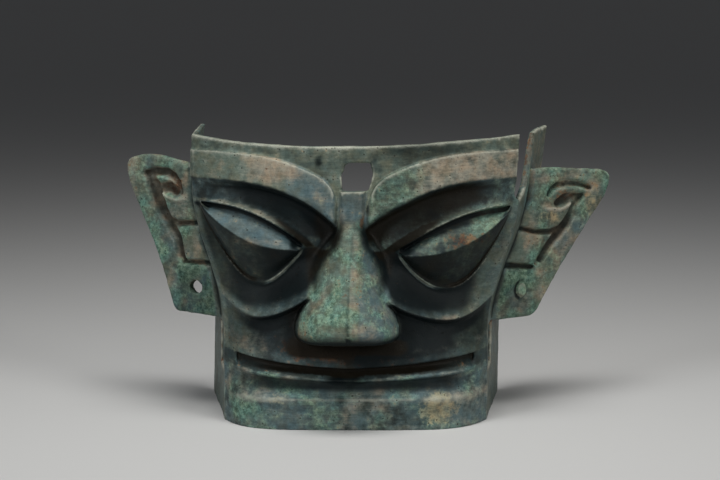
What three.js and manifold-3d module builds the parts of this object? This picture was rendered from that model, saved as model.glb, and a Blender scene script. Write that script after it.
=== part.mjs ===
import * as THREE from 'three';
import { mergeVertices } from 'three/addons/utils/BufferGeometryUtils.js';
import Module from 'manifold-3d';

// A cast bronze ritual mask with large upright ears, in millimetres, +Z up.
// It is one thin-walled casting, U-shaped in plan and open at the back, top and bottom.
// It stands on its lower rim and its face looks along -Y.
// While it is drawn, y = 0 is the plane of the two front corners and x = 0 the middle of the face.

const wasm = await Module();
wasm.setup();

// The shell
const JAW_HALF = 106.2;          // half the width across the front corners, at the jaw
const TEMPLE_GAIN = 25;          // what the temples add to it on each side
const WIDENS = [78, 194];        // heights between which the face widens
const BOW = 36;                  // how far the middle of the face stands ahead of its corners
const DEPTH = 115;               // from the front corners back to the rear edges
const FLARE = 17;                // how far each side wall opens outwards on its way back
const WALL = 4.3;                // thickness of the metal
const CORNER_CUT = 1.2;          // how far the front corners are rounded back
const RIM_MIDDLE = 225.7;        // height of the top rim over the nose
const RIM_RISE = 7;              // what it gains by the front corners
const TOP = RIM_MIDDLE + RIM_RISE;

// How the casting has sagged and twisted out of true
const TWIST = 15.4;              // sideways shift of the upper rear corners
const LEAN = { bridge: 2, tip: 5, height: 92, reach: 62 };
const DROOP = { drop: 5, from: [205, 165], to: [58, 115], across: 0.45 };

// Lines of the face: heights over u, the share of the way from the middle (0) to the corner (1)
const BROW_TOP = { outer: 221.5, drop: 25, inner: 0.115, power: 3 };
const BROW_ROUND = { drop: 5.5, power: 34 };
const BROW_BOTTOM = { outer: 199, drop: 36, inner: 0.09, power: 3.2 };
const FOLD_STARTS = [0.12, 0.36];
const LID_STARTS = [0.22, 0.37];
const CREASE = { outer: 182.5, drop: 38, inner: 0.22, power: 2.6 };
const EYE = { inner: 0.29, outer: 0.97, innerZ: 144.5, outerZ: 180, blend: 0.06 };
const LID_POWER = 2.3;
const RIDGE_POWER = 3.2;
const LOWER_LID = { low: 116, at: 0.64, inner: [0.31, 28, 1.6], outer: [0.97, 64, 3] };
const CHEEKBONE = { low: 90, at: 0.72, inner: [0.28, 18, 1.7], outer: [1, 17, 2.2] };
const UPPER_LIP = { middle: 50, rise: 10.8, power: 1.4 };
const LOWER_LIP = { middle: 42, rise: 7, power: 1.3 };
const MOUTH_END = [0.885, 0.905];
const BROW_END = [0.094, 0.115];
const CHIN_RIDGE = 24.5;

// How far the relief stands proud of the shell (or lies behind it) at shares of the way out
const SOCKET = [[0, -12], [0.2, -13], [0.35, -10], [0.6, -7], [0.85, -3], [0.97, -1.2], [1, -0.5]];
const BROW_LIP = [[0.1, 4.5], [0.5, 5.5], [1, 3.5]];
const BROW_CREST = 3;
const BALL_RIDGE = 7;
const BALL_FOOT = -7;
const LID_LIP = [[0.31, -6], [0.45, -0.5], [0.7, 1.5], [0.9, 0.8], [1, 0]];
const LID_GROOVE = 5;
const LID_RIM = [[0.3, 3.6], [0.5, 3.4], [0.62, 1.6], [0.75, 0.5], [1, 0.3]];
const CHEEKBONE_LIP = [[0.28, 8], [0.5, 6.5], [0.8, 5], [0.95, 2], [1, 0.5]];
const CHEEK = [[0.25, -6], [0.5, -3.2], [0.8, -1.6], [1, 0]];
const CHIN_FADE = [[0, 1], [0.85, 1], [1, 0.3]];

// The nose: half width and reach ahead of the shell at heights from its underside to its top
const NOSE = [
  { z: 71.5, half: 37, reach: 22, square: 3 },
  { z: 73, half: 40, reach: 28, square: 2.9 },
  { z: 77.5, half: 41.8, reach: 33.5, square: 2.7 },
  { z: 84, half: 41.6, reach: 36, square: 2.5 },
  { z: 94, half: 38.8, reach: 34, square: 2.3 },
  { z: 102, half: 34.5, reach: 30.5, square: 2.1 },
  { z: 107, half: 32.5, reach: 28.5, square: 1.9 },
  { z: 113, half: 32.5, reach: 26, square: 1.65 },
  { z: 127, half: 29, reach: 20.5, square: 1.55 },
  { z: 138, half: 23, reach: 16.5, square: 1.65 },
  { z: 148, half: 15.5, reach: 13, square: 2.4 },
  { z: 162, half: 11, reach: 9.3, square: 4 },
  { z: 178, half: 10.4, reach: 6.8, square: 6 },
  { z: 191, half: 10.4, reach: 5.5, square: 6 },
];

// Its flanks, which run out over the wings into the cheek ridges
const FLANKS = [
  { z: 107, half: 47, reach: 19.5, square: 1.3 },
  { z: 116, half: 44, reach: 17.5, square: 1.3 },
  { z: 127, half: 38, reach: 14.5, square: 1.3 },
  { z: 138, half: 31, reach: 11, square: 1.35 },
  { z: 148, half: 22, reach: 8, square: 1.6 },
  { z: 158, half: 11, reach: 5, square: 2.5 },
];
const NOSE_BACK = 20;            // how far behind the face's front line the nose is rooted
const NOSE_SIDES = 18;           // facets across it

// The ears, drawn in their own planes: p runs outwards from the root and z upwards
const EAR_ROOT = { x: 118, y: 35 };
const EAR_SWEEP = 31 * Math.PI / 180;
const EAR_THICK = 6;
const EAR_RELIEF = 3.5;
const EAR_BURIED = -14;          // the plates start this far inside, and the cavity trims them
const EARS = {
  left: {
    side: -1,
    outline: [[EAR_BURIED, 197, 0], [72, 211.5, 14], [98.5, 206, 8], [95.5, 188, 20],
      [58, 127.5, 30], [40.5, 80.5, 6], [EAR_BURIED, 78.8, 0]],
    well: [[44, 198, 5], [79, 198.5, 7], [72, 172, 12], [56, 151, 8], [46, 147, 4],
      [36.5, 121.5, 3], [EAR_BURIED, 119.5, 0], [EAR_BURIED, 155, 0], [20, 155, 2]],
    upperBlock: [[EAR_BURIED, 195, 0], [33, 193.5, 8], [56, 193.5, 8], [55, 169, 9], [48, 158.5, 8],
      [EAR_BURIED, 157, 0]],
    bowl: [[35, 186, 3], [50, 190, 5], [53, 178, 6], [34, 173.5, 4]],
    lowerBlock: [[EAR_BURIED, 153, 0], [34.5, 152, 2], [33, 136, 2], [28.5, 124.5, 2], [EAR_BURIED, 122.5, 0]],
    hole: { p: 18.5, z: 102.4, across: 12.5, high: 11, pierced: true },
  },
  right: {
    side: 1,
    outline: [[EAR_BURIED, 193, 0], [37, 200.6, 6], [95, 197, 8], [105, 192, 6], [102.5, 176, 14],
      [69.5, 129.5, 30], [35.5, 77, 7], [EAR_BURIED, 76, 0]],
    well: [[42, 172, 4], [50, 187, 8], [84, 186.5, 6], [84, 171, 10], [52, 129, 6],
      [35, 117, 4], [EAR_BURIED, 118.5, 0], [EAR_BURIED, 149, 0], [28, 147, 2]],
    upperBlock: [[EAR_BURIED, 182, 0], [50, 182, 8], [74, 181, 6], [68.5, 167, 7], [59, 151, 9],
      [EAR_BURIED, 150.5, 0]],
    bowl: [[47, 172, 3], [55, 178.5, 4], [68, 178, 4], [62, 169, 5]],
    lowerBlock: [[EAR_BURIED, 145.5, 0], [40, 143.5, 2], [40.5, 136, 2], [30, 121, 2], [EAR_BURIED, 121.5, 0]],
    hole: { p: 21.2, z: 100, across: 12.5, high: 15.5, pierced: false },
  },
};

// Openings cut through the wall
const FOREHEAD_HOLE = [[-10.2, 191.2], [10, 191.2], [11.6, 196], [13.6, 203], [11.8, 213], [-5.5, 213.4],
  [-8.2, 211], [-9.2, 206], [-11, 203.5], [-10.4, 197]];
const JAW_CUT = [[8, 42], [38, 42], [38, 77], [8, 77]];
const TEMPLE_BREAK = [[4.5, 250], [4.5, 182], [7, 179.5], [15, 181.5], [30, 187], [43, 200], [54, 219],
  [59, 229.6], [84, 231.4], [92, 229.4], [115, 231.4], [125, 231.4], [125, 250]];
const CORNER_BREAK = [[134, 250], [131.2, 234], [129, 205], [127, 182.5], [129, 180], [140, 180],
  [140, 250]];

const clamp = (v, low, high) => Math.min(high, Math.max(low, v));
const mix = (a, b, share) => a + (b - a) * share;
const smooth = (from, to, v) => {
  const t = clamp((v - from) / (to - from), 0, 1);
  return t * t * (3 - 2 * t);
};

// The value at v of a run of [v, value] stops
function along(stops, v) {
  const next = stops.findIndex(([at]) => at >= v);
  if (next === 0) return stops[0][1];
  if (next < 0) return stops.at(-1)[1];
  const [[a, low], [b, high]] = [stops[next - 1], stops[next]];
  return mix(low, high, (v - a) / (b - a));
}

// A height that falls away from the corner towards the middle, ever faster
const falling = ({ outer, drop, inner, power }, u) => outer - drop * ((1 - u) / (1 - inner)) ** power;

// A height that hangs lowest at one place and rises to each side of it
function hanging({ low, at, inner, outer }, u) {
  const [end, rise, power] = u < at ? inner : outer;
  return low + rise * clamp((u - at) / (end - at), 0, 1) ** power;
}

const eyeShare = (u) => clamp((u - EYE.inner) / (EYE.outer - EYE.inner), 0, 1);
const eyeRise = EYE.outerZ - EYE.innerZ;
const browRound = (u) => BROW_ROUND.drop * ((1 - u) / (1 - BROW_TOP.inner)) ** BROW_ROUND.power;
const browTop = (u) => falling(BROW_TOP, u) - browRound(u);
const browBottom = (u) => falling(BROW_BOTTOM, u);
const crease = (u) => falling(CREASE, u);
const lidEdge = (u) => EYE.innerZ + eyeRise * (1 - (1 - eyeShare(u)) ** LID_POWER);
const ballRidge = (u) => EYE.innerZ + eyeRise * eyeShare(u) ** RIDGE_POWER;
const lowerLid = (u) => hanging(LOWER_LID, u);
const cheekbone = (u) => hanging(CHEEKBONE, u);
const upperLip = (u) => UPPER_LIP.middle + UPPER_LIP.rise * u ** UPPER_LIP.power;
const lowerLip = (u) => LOWER_LIP.middle + LOWER_LIP.rise * u ** LOWER_LIP.power;

function rimTop(u, side) {
  return RIM_MIDDLE + RIM_RISE * u ** (side < 0 ? 3 : 1.5);
}

const outerFade = (u) => smooth(EYE.outer, EYE.outer - EYE.blend / 2, u);

// 1 inside the eye, 0 at its corners and beyond
function eyeMask(u) {
  return smooth(EYE.inner, EYE.inner + EYE.blend, u) * outerFade(u);
}
const lidRim = (u) => eyeMask(u) * along(LID_RIM, u);
const lidFold = (u) => smooth(...FOLD_STARTS, u);
const mouthMask = (u) => 1 - smooth(...MOUTH_END, u);
const browMask = (u) => smooth(...BROW_END, u);

const socket = (u) => along(SOCKET, u);
const inEye = (u, d) => mix(socket(u), d, eyeMask(u));
const onLid = (u, d) => mix(socket(u), d, smooth(...LID_STARTS, u) * outerFade(u));
const inMouth = (u, d) => mix(0.5, d, mouthMask(u));
const onBrow = (u, d) => mix(0, d, browMask(u));
const onChin = (u, d) => d * along(CHIN_FADE, u);
const betweenLips = (u) => mix(lowerLip(u), upperLip(u), 0.6);
const underEye = (u, share) => mix(cheekbone(u), lowerLid(u), share);
const underBrow = (u) => browBottom(u) - 6.5;

// Rows of the relief from the lower rim to the top rim. Each has a height z and a depth d over u.
// The cavity follows the rows that have a lift, which raises its own line above theirs.
const ROWS = [
  { z: () => 0, d: () => 1, lift: -12 },
  { z: () => 12, d: (u) => onChin(u, 1.2) },
  { z: () => CHIN_RIDGE - 2, d: (u) => onChin(u, 3.2) },
  { z: () => CHIN_RIDGE + 0.5, d: (u) => onChin(u, 3.4), lift: 0 },
  { z: (u) => lowerLip(u) - 8.5, d: (u) => onChin(u, -2.2), lift: 0 },
  { z: (u) => lowerLip(u) - 3, d: (u) => inMouth(u, -0.6) },
  { z: (u) => lowerLip(u) - 1.7, d: (u) => inMouth(u, 2.4) },
  { z: (u) => lowerLip(u) + mix(2.2, 4.2, u), d: (u) => inMouth(u, -2.6) },
  { z: betweenLips, d: (u) => inMouth(u, -4.2), lift: 0 },
  { z: (u) => upperLip(u) - 1, d: (u) => inMouth(u, -2.6) },
  { z: upperLip, d: (u) => inMouth(u, 3) },
  { z: (u) => upperLip(u) + 9, d: () => 1, lift: 0 },
  { z: (u) => mix(upperLip(u) + 9, cheekbone(u) - 5.5, 0.5), d: (u) => along(CHEEK, u) * 0.7, lift: 0 },
  { z: (u) => cheekbone(u) - 5.5, d: (u) => along(CHEEK, u), lift: 0 },
  { z: (u) => cheekbone(u) - 0.8, d: (u) => along(CHEEKBONE_LIP, u) - 0.8 },
  { z: cheekbone, d: (u) => along(CHEEKBONE_LIP, u), lift: 3.5 },
  { z: (u) => underEye(u, 0.3), d: (u) => mix(along(CHEEKBONE_LIP, u), socket(u), 0.44) },
  { z: (u) => underEye(u, 0.62), d: (u) => mix(along(CHEEKBONE_LIP, u), socket(u), 0.8), lift: 0 },
  { z: (u) => lowerLid(u) - 2 * eyeMask(u), d: (u) => socket(u) },
  { z: lowerLid, d: (u) => socket(u) + lidRim(u) },
  { z: (u) => lowerLid(u) + 2.3 * eyeMask(u), d: (u) => inEye(u, BALL_FOOT), lift: 0 },
  { z: (u) => mix(lowerLid(u), ballRidge(u), 0.5), d: (u) => inEye(u, 1.2) },
  { z: ballRidge, d: (u) => inEye(u, BALL_RIDGE), lift: 0 },
  { z: (u) => mix(ballRidge(u), lidEdge(u) - 4.5 * eyeMask(u), 0.5), d: (u) => inEye(u, 2.4) },
  { z: (u) => lidEdge(u) - 4.2 * eyeMask(u), d: (u) => inEye(u, along(LID_LIP, u) - LID_GROOVE), lift: 0 },
  { z: (u) => lidEdge(u) - 1.2 * eyeMask(u), d: (u) => inEye(u, along(LID_LIP, u) - LID_GROOVE) },
  { z: lidEdge, d: (u) => onLid(u, along(LID_LIP, u)) },
  { z: (u) => Math.max(crease(u), lidEdge(u) + 1.5), d: (u) => socket(u) * mix(1, 0.45, lidFold(u)) },
  { z: (u) => mix(crease(u), underBrow(u), 0.5), d: (u) => socket(u) * mix(1, 0.85, lidFold(u)) },
  { z: underBrow, d: (u) => socket(u), lift: 0 },
  { z: (u) => browBottom(u) - 0.8, d: (u) => onBrow(u, along(BROW_LIP, u) - 1.2) },
  { z: browBottom, d: (u) => onBrow(u, along(BROW_LIP, u)), lift: 4 },
  { z: (u) => browTop(u) - 0.8, d: (u) => onBrow(u, BROW_CREST) },
  { z: (u) => browTop(u) + 0.4, d: () => 0.2, lift: 0 },
  { z: (u, side) => mix(browTop(u), rimTop(u, side), 0.6), d: () => 0 },
  { z: rimTop, d: () => 0, lift: 20 },
];
const ROW_GAP = 0.35;            // least height between two rows

const FACE_SHARES = [0, 0.04, 0.075, 0.094, 0.115, 0.14, 0.175, 0.21, 0.25, 0.285, 0.31, 0.34, 0.38, 0.42,
  0.48, 0.54, 0.6, 0.66, 0.72, 0.77, 0.82, 0.86, 0.885, 0.905, 0.93, 0.95, 0.97, 0.985, 1];
const CAVITY_SHARES = [0, 0.12, 0.2, 0.26, 0.31, 0.37, 0.44, 0.52, 0.6, 0.68, 0.76, 0.84, 0.89, 0.94];
const SIDE_PLACES = [3, 8, 20, 38, 75, DEPTH];
const CAVITY_PLACES = [5, 20, 50, DEPTH + 20];
const RIDGE_ROOM = [7, 16];      // the cavity goes into a ridge where its lines stand this far apart
const RELIEF_ENDS = 12;          // the relief dies out this far along the side walls

const halfWidth = (z) => JAW_HALF + TEMPLE_GAIN * smooth(...WIDENS, z);
const frontPower = (z) => mix(5.5, 2.4, smooth(0, 115, z));

// The heights of all rows at one place, never crossing each other
function heights(u, side) {
  const out = [];
  for (const row of ROWS) {
    out.push(out.length ? Math.max(row.z(u, side), out.at(-1) + ROW_GAP) : row.z(u, side));
  }
  return out;
}

// The crookedness of the face: the nose leans and the right half has sagged
function sag(u, side, x, z) {
  const pull = LEAN.bridge + LEAN.tip * Math.exp(-(((z - LEAN.height) / LEAN.reach) ** 2));
  const drop = DROOP.drop * smooth(...DROOP.from, z) * smooth(...DROOP.to, z);
  const onRight = side > 0 ? smooth(0, DROOP.across, u) : 0;
  return [x - pull * smooth(0, 25, z) * (1 - u * u) ** 2, z - drop * onRight];
}

// A point of the front: u across, height z, depth d, and how far behind the surface it lies
function frontPoint(u, side, z, d, inset) {
  const half = halfWidth(z);
  const power = frontPower(z);
  const slope = BOW * power * u ** (power - 1) / half;
  const length = Math.hypot(1, slope);
  const across = u * half - CORNER_CUT * u ** 20 - inset * slope / length;
  const [x, height] = sag(u, side, side * across, z);
  return [x, -BOW * (1 - u ** power) - d + inset / length, height];
}

// A point of a side wall at depth y
function sidePoint(y, side, z, d, inset) {
  const relief = 0.4 * d * (1 - smooth(0, RELIEF_ENDS, y));
  const [, height] = sag(1, side, 0, z);
  return [side * (halfWidth(z) + FLARE * y / DEPTH + relief - inset), y, height];
}

// The cavity's depth at one of its lines: a ridge between lines too close together stays solid
function hollowed(lines, k) {
  const { d } = lines[k];
  const [under, over] = [lines[k - 1], lines[k + 1]];
  return under && over ? mix(Math.min(d, under.d, over.d), d, smooth(...RIDGE_ROOM, over.z - under.z)) : d;
}

// One column of points for each place around the U, from the left rear edge to the right one
function columns(shares, places, inset, keep) {
  const column = (side, u, y) => {
    const levels = heights(u, side);
    const lines = ROWS.map((row, k) => ({
      z: levels[k] + (inset ? row.lift ?? 0 : 0),
      d: row.d(u, side),
    })).filter((_, k) => keep(ROWS[k]));
    return lines.map(({ z }, k) => {
      const d = inset ? hollowed(lines, k) : lines[k].d;
      return y === undefined ? frontPoint(u, side, z, d, inset) : sidePoint(y, side, z, d, inset);
    });
  };
  const half = (side) => [
    ...shares.slice(side < 0 ? 1 : 0).map((u) => column(side, u)),
    ...places.map((y) => column(side, 1, y)),
  ];
  return [...half(-1).reverse(), ...half(1)];
}

function toSolid(positions, triangles) {
  const mesh = new wasm.Mesh({
    numProp: 3,
    vertProperties: new Float32Array(positions),
    triVerts: new Uint32Array(triangles),
  });
  return new wasm.Manifold(mesh);
}

// A closed solid from columns of points: a skin, a flat back between the end columns, and two caps
function lofted(sections) {
  const count = sections[0].length;
  const positions = sections.flat(2);
  const triangles = [];
  const at = (i, k) => (i % sections.length) * count + k;
  for (let i = 0; i < sections.length; i++) {
    for (let k = 0; k < count - 1; k++) {
      triangles.push(at(i, k), at(i + 1, k), at(i + 1, k + 1), at(i, k), at(i + 1, k + 1), at(i, k + 1));
    }
  }
  for (const k of [0, count - 1]) {
    const hub = positions.length / 3;
    const ring = sections.map((section) => section[k]);
    positions.push(...[0, 1, 2].map((axis) => ring.reduce((sum, p) => sum + p[axis], 0) / ring.length));
    for (let i = 0; i < sections.length; i++) {
      triangles.push(...(k ? [hub, at(i, k), at(i + 1, k)] : [hub, at(i + 1, k), at(i, k)]));
    }
  }
  return toSolid(positions, triangles);
}

function geometrySolid(geometry) {
  geometry.deleteAttribute('normal');
  geometry.deleteAttribute('uv');
  const merged = mergeVertices(geometry, 1e-3);
  return toSolid(merged.attributes.position.array, merged.index.array);
}

// The nose or its flanks, or their hollow when inset: rounded sections stacked from the underside up
function nose(table, inset) {
  const levels = inset && table === NOSE ? table.slice(2) : table;
  const root = NOSE_BACK - BOW;
  const back = inset ? DEPTH / 2 : root;
  const sections = Array.from({ length: NOSE_SIDES + 1 }, (_, i) => {
    const angle = Math.PI * (1 - i / NOSE_SIDES);
    return levels.map(({ z, half, reach, square }, k) => {
      const roundness = 2 / square;
      const cosine = Math.cos(angle);
      const across = Math.sign(cosine) * Math.abs(cosine) ** roundness * (half - inset);
      const front = root - (NOSE_BACK + reach - inset) * Math.sin(angle) ** roundness;
      const [x, height] = sag(0, 1, across, z);
      const trimmed = height - (inset && k === levels.length - 1 ? inset : 0);
      return [x, i === 0 || i === NOSE_SIDES ? back : front, trimmed];
    });
  });
  return lofted(sections);
}

// A closed outline from [x, y, corner radius] points
function outline(points) {
  const shape = new THREE.Shape();
  points.forEach(([x, y, radius = 0], i) => {
    const here = new THREE.Vector2(x, y);
    const towards = (j) => {
      const [px, py] = points.at(j % points.length);
      const other = new THREE.Vector2(px, py);
      const reach = Math.min(radius, here.distanceTo(other) / 2);
      return other.sub(here).setLength(reach).add(here);
    };
    const [from, to] = [towards(i - 1), towards(i + 1)];
    if (i === 0) shape.moveTo(from.x, from.y);
    else shape.lineTo(from.x, from.y);
    if (radius) shape.quadraticCurveTo(x, y, to.x, to.y);
  });
  shape.closePath();
  return shape;
}

const CURVE_STEPS = 6;
function extruded(shape, depth) {
  return new THREE.ExtrudeGeometry(shape, { depth, bevelEnabled: false, curveSegments: CURVE_STEPS });
}

// A prism in an ear's plane, from `low` to `high` ahead of the plate's front face
function earPrism(side, points, low, high) {
  const shape = outline(points.map(([p, z, radius]) => [side * p, z, radius]));
  const geometry = extruded(shape, high - low);
  geometry.translate(0, 0, low);
  const outwards = new THREE.Vector3(Math.cos(EAR_SWEEP), side * Math.sin(EAR_SWEEP), 0);
  const up = new THREE.Vector3(0, 0, 1);
  const forwards = outwards.clone().cross(up);
  geometry.applyMatrix4(new THREE.Matrix4().makeBasis(outwards, up, forwards));
  geometry.translate(side * EAR_ROOT.x, EAR_ROOT.y, 0);
  return geometrySolid(geometry);
}

function ring({ p, z, across, high }) {
  const facets = 12;
  return Array.from({ length: facets }, (_, i) => {
    const angle = 2 * Math.PI * i / facets;
    return [p + across / 2 * Math.cos(angle), z + high / 2 * Math.sin(angle), 0];
  });
}

function ear({ side, outline: edge, well, upperBlock, bowl, lowerBlock, hole }) {
  const prism = (points, low, high) => earPrism(side, points, low, high);
  const sunk = prism(well, -EAR_RELIEF, 10)
    .subtract(prism(upperBlock, -10, 20))
    .subtract(prism(lowerBlock, -10, 20))
    .add(prism(bowl, -0.7 * EAR_RELIEF, 10));
  const plate = prism(edge, -EAR_THICK, 0).subtract(sunk);
  if (hole.pierced) return plate.subtract(prism(ring(hole), -10, 10));
  const plug = { ...hole, across: hole.across - 2, high: hole.high - 2 };
  return plate.subtract(prism(ring(hole), -1.5, 10)).add(prism(ring(plug), -2, 1.2));
}

// A cutter that runs through a side wall along X, drawn as [y, z] points
function sideCut(side, points) {
  const geometry = extruded(outline(points), 120);
  geometry.applyMatrix4(new THREE.Matrix4().makeBasis(
    new THREE.Vector3(0, 1, 0), new THREE.Vector3(0, 0, 1), new THREE.Vector3(1, 0, 0)));
  geometry.translate(side > 0 ? 70 : -190, 0, 0);
  return geometrySolid(geometry);
}

// A cutter that runs through the front along Y, drawn as [x, z] points
function frontCut(points, from, to) {
  const geometry = extruded(outline(points.map(([x, z]) => [x, -z])), to - from);
  geometry.applyMatrix4(new THREE.Matrix4().makeRotationX(-Math.PI / 2));
  geometry.translate(0, from, 0);
  return geometrySolid(geometry);
}

// The twist of the casting: behind the face, the higher and further back, the more it lies towards +X
function twisted(x, y, z) {
  return x + TWIST * (Math.max(0, y) / DEPTH) * (z / TOP) ** 2;
}

function casting() {
  const everyRow = () => true;
  const cavityRow = (row) => row.lift !== undefined;
  const body = lofted(columns(FACE_SHARES, SIDE_PLACES, 0, everyRow)).add(nose(NOSE, 0)).add(nose(FLANKS, 0));
  const cavity = lofted(columns(CAVITY_SHARES, CAVITY_PLACES, WALL, cavityRow))
    .add(nose(NOSE, WALL))
    .add(nose(FLANKS, WALL));
  const cast = body.add(ear(EARS.left)).add(ear(EARS.right)).subtract(cavity)
    .subtract(frontCut(FOREHEAD_HOLE, -60, -20))
    .subtract(frontCut(CORNER_BREAK, -40, 9))
    .subtract(sideCut(-1, JAW_CUT))
    .subtract(sideCut(1, JAW_CUT))
    .subtract(sideCut(1, TEMPLE_BREAK));
  const { vertProperties, triVerts, numProp } = cast.getMesh();
  const positions = [];
  for (let i = 0; i < vertProperties.length; i += numProp) {
    const [x, y, z] = vertProperties.subarray(i, i + 3);
    positions.push(twisted(x, y, z), y, z);
  }
  const geometry = new THREE.BufferGeometry();
  geometry.setAttribute('position', new THREE.Float32BufferAttribute(positions, 3));
  geometry.setIndex([...triVerts]);
  geometry.computeBoundingBox();
  return geometry;
}

const geometry = casting();
const bronze = new THREE.MeshStandardMaterial({ color: 0x4f6b66, roughness: 0.62, metalness: 0.35 });
const mask = new THREE.Mesh(geometry, bronze);
mask.name = 'mask';

// The origin is under the middle of the whole casting, on the surface that it stands on
const { min, max } = geometry.boundingBox;
mask.position.set(-(min.x + max.x) / 2, -(min.y + max.y) / 2, -min.z);

const group = new THREE.Group();
group.add(mask);

export default group;
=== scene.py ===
"""A cast bronze ritual mask with upright ears and a green and blue patina, on a pale floor."""

import math
from collections import namedtuple
from functools import partialmethod
from itertools import product

import bpy
import numpy as np
from mathutils import Matrix, Vector
from mathutils.bvhtree import BVHTree


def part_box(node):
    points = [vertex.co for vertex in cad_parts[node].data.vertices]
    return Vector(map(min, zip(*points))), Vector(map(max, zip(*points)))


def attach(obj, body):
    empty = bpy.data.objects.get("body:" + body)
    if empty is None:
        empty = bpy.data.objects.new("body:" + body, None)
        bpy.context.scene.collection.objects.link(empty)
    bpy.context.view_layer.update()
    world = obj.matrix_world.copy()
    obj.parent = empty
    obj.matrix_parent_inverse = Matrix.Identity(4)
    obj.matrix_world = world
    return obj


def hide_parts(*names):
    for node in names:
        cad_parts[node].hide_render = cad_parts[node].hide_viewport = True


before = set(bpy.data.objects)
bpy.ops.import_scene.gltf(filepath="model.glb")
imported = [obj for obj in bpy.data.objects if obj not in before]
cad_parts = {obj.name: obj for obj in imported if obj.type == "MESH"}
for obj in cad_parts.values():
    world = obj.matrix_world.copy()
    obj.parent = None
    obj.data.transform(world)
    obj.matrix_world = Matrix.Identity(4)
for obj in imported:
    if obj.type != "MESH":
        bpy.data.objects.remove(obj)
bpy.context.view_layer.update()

MM = 0.001

# Shapes are worked out in millimetres, with y = 0 in the plane of the two front corners of the
# face and x = 0 in its middle. This is where that point stands in the shared frame.
FACE_X = -11.015
DEPTH = 115.0                    # from the front corners back to the rear edges
FACE_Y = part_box("mask")[1].y / MM - DEPTH

# The shell
JAW_HALF = 106.2
TEMPLE_GAIN = 25.0
WIDENS = (78.0, 194.0)
BOW = 36.0
BOW_POWERS, BOW_CHANGES = (5.5, 2.4), (0, 115)
FLARE = 17.0
WALL = 4.3
THINNEST = 3.4
CORNER_CUT, CORNER_POWER = 1.2, 20
RIM_MIDDLE = 225.7
RIM_RISE = 7.0
RIM_POWERS = {-1: 3.0, 1: 1.5}
TOP = RIM_MIDDLE + RIM_RISE

# How the casting has sagged and twisted out of true
TWIST = 15.4
LEAN_BRIDGE, LEAN_TIP, LEAN_HEIGHT, LEAN_REACH, LEAN_STARTS = 2.0, 5.0, 92.0, 62.0, 25.0
DROOP, DROOP_FROM, DROOP_TO, DROOP_ACROSS = 5.0, (205.0, 165.0), (58.0, 115.0), 0.45

# Lines of the face: heights over u, the share of the way from the middle (0) to the corner (1)
BROW_TOP = (221.5, 25.0, 0.115, 3.0)
BROW_ROUND, BROW_ROUND_POWER = 5.5, 34
BROW_BOTTOM = (199.0, 36.0, 0.09, 3.2)
UNDER_BROW = 6.5
CREASE = (182.5, 38.0, 0.22, 2.6)
FOLD_STARTS = (0.12, 0.36)
LID_STARTS = (0.22, 0.37)
EYE_INNER, EYE_OUTER, EYE_INNER_Z, EYE_OUTER_Z, EYE_BLEND = 0.29, 0.97, 144.5, 180.0, 0.06
LID_POWER = 2.3
RIDGE_POWER = 3.2
LOWER_LID = (116.0, 0.64, (0.31, 28.0, 1.6), (0.97, 64.0, 3.0))
CHEEKBONE = (90.0, 0.72, (0.28, 18.0, 1.7), (1.0, 17.0, 2.2))
UPPER_LIP = (50.0, 10.8, 1.4)
LOWER_LIP = (42.0, 7.0, 1.3)
MOUTH_END = (0.885, 0.905)
BROW_END = (0.094, 0.115)
CHIN_RIDGE = 24.5

# How far the relief stands proud of the shell, at shares of the way out
SOCKET = ((0, -12), (0.2, -13), (0.35, -10), (0.6, -7), (0.85, -3), (0.97, -1.2), (1, -0.5))
BROW_LIP = ((0.1, 4.5), (0.5, 5.5), (1, 3.5))
BROW_CREST = 3.0
BALL_RIDGE = 7.0
BALL_FOOT = -7.0
LID_LIP = ((0.31, -6), (0.45, -0.5), (0.7, 1.5), (0.9, 0.8), (1, 0))
LID_GROOVE = 5.0
LID_RIM = ((0.3, 3.6), (0.5, 3.4), (0.62, 1.6), (0.75, 0.5), (1, 0.3))
CHEEKBONE_LIP = ((0.28, 8), (0.5, 6.5), (0.8, 5), (0.95, 2), (1, 0.5))
CHEEK = ((0.25, -6), (0.5, -3.2), (0.8, -1.6), (1, 0))
CHIN_FADE = ((0, 1), (0.85, 1), (1, 0.3))
RELIEF_ENDS = 12.0

# The nose and its flanks: height, half width, reach ahead of the shell, squareness
NOSE = (
    (71.5, 37, 22, 3.0), (73, 40, 28, 2.9), (77.5, 41.8, 33.5, 2.7), (84, 41.6, 36, 2.5),
    (94, 38.8, 34, 2.3), (102, 34.5, 30.5, 2.1), (107, 32.5, 28.5, 1.9), (113, 32.5, 26, 1.65),
    (127, 29, 20.5, 1.55), (138, 23, 16.5, 1.65), (148, 15.5, 13, 2.4), (162, 11, 9.3, 4),
    (178, 10.4, 6.8, 6), (191, 10.4, 5.5, 6),
)
FLANKS = (
    (107, 47, 19.5, 1.3), (116, 44, 17.5, 1.3), (127, 38, 14.5, 1.3), (138, 31, 11, 1.35),
    (148, 22, 8, 1.6), (158, 11, 5, 2.5),
)
NOSE_BACK = 20.0

# The ears, in their own planes: p runs outwards from the root and z upwards
EAR_ROOT = (118.0, 35.0)
EAR_SWEEP = math.radians(31)
EAR_THICK = 6.0
EAR_BACK = 0.6                   # how much lower the plate's back starts, before it is cut
EAR_BURIED = -14.0

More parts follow.
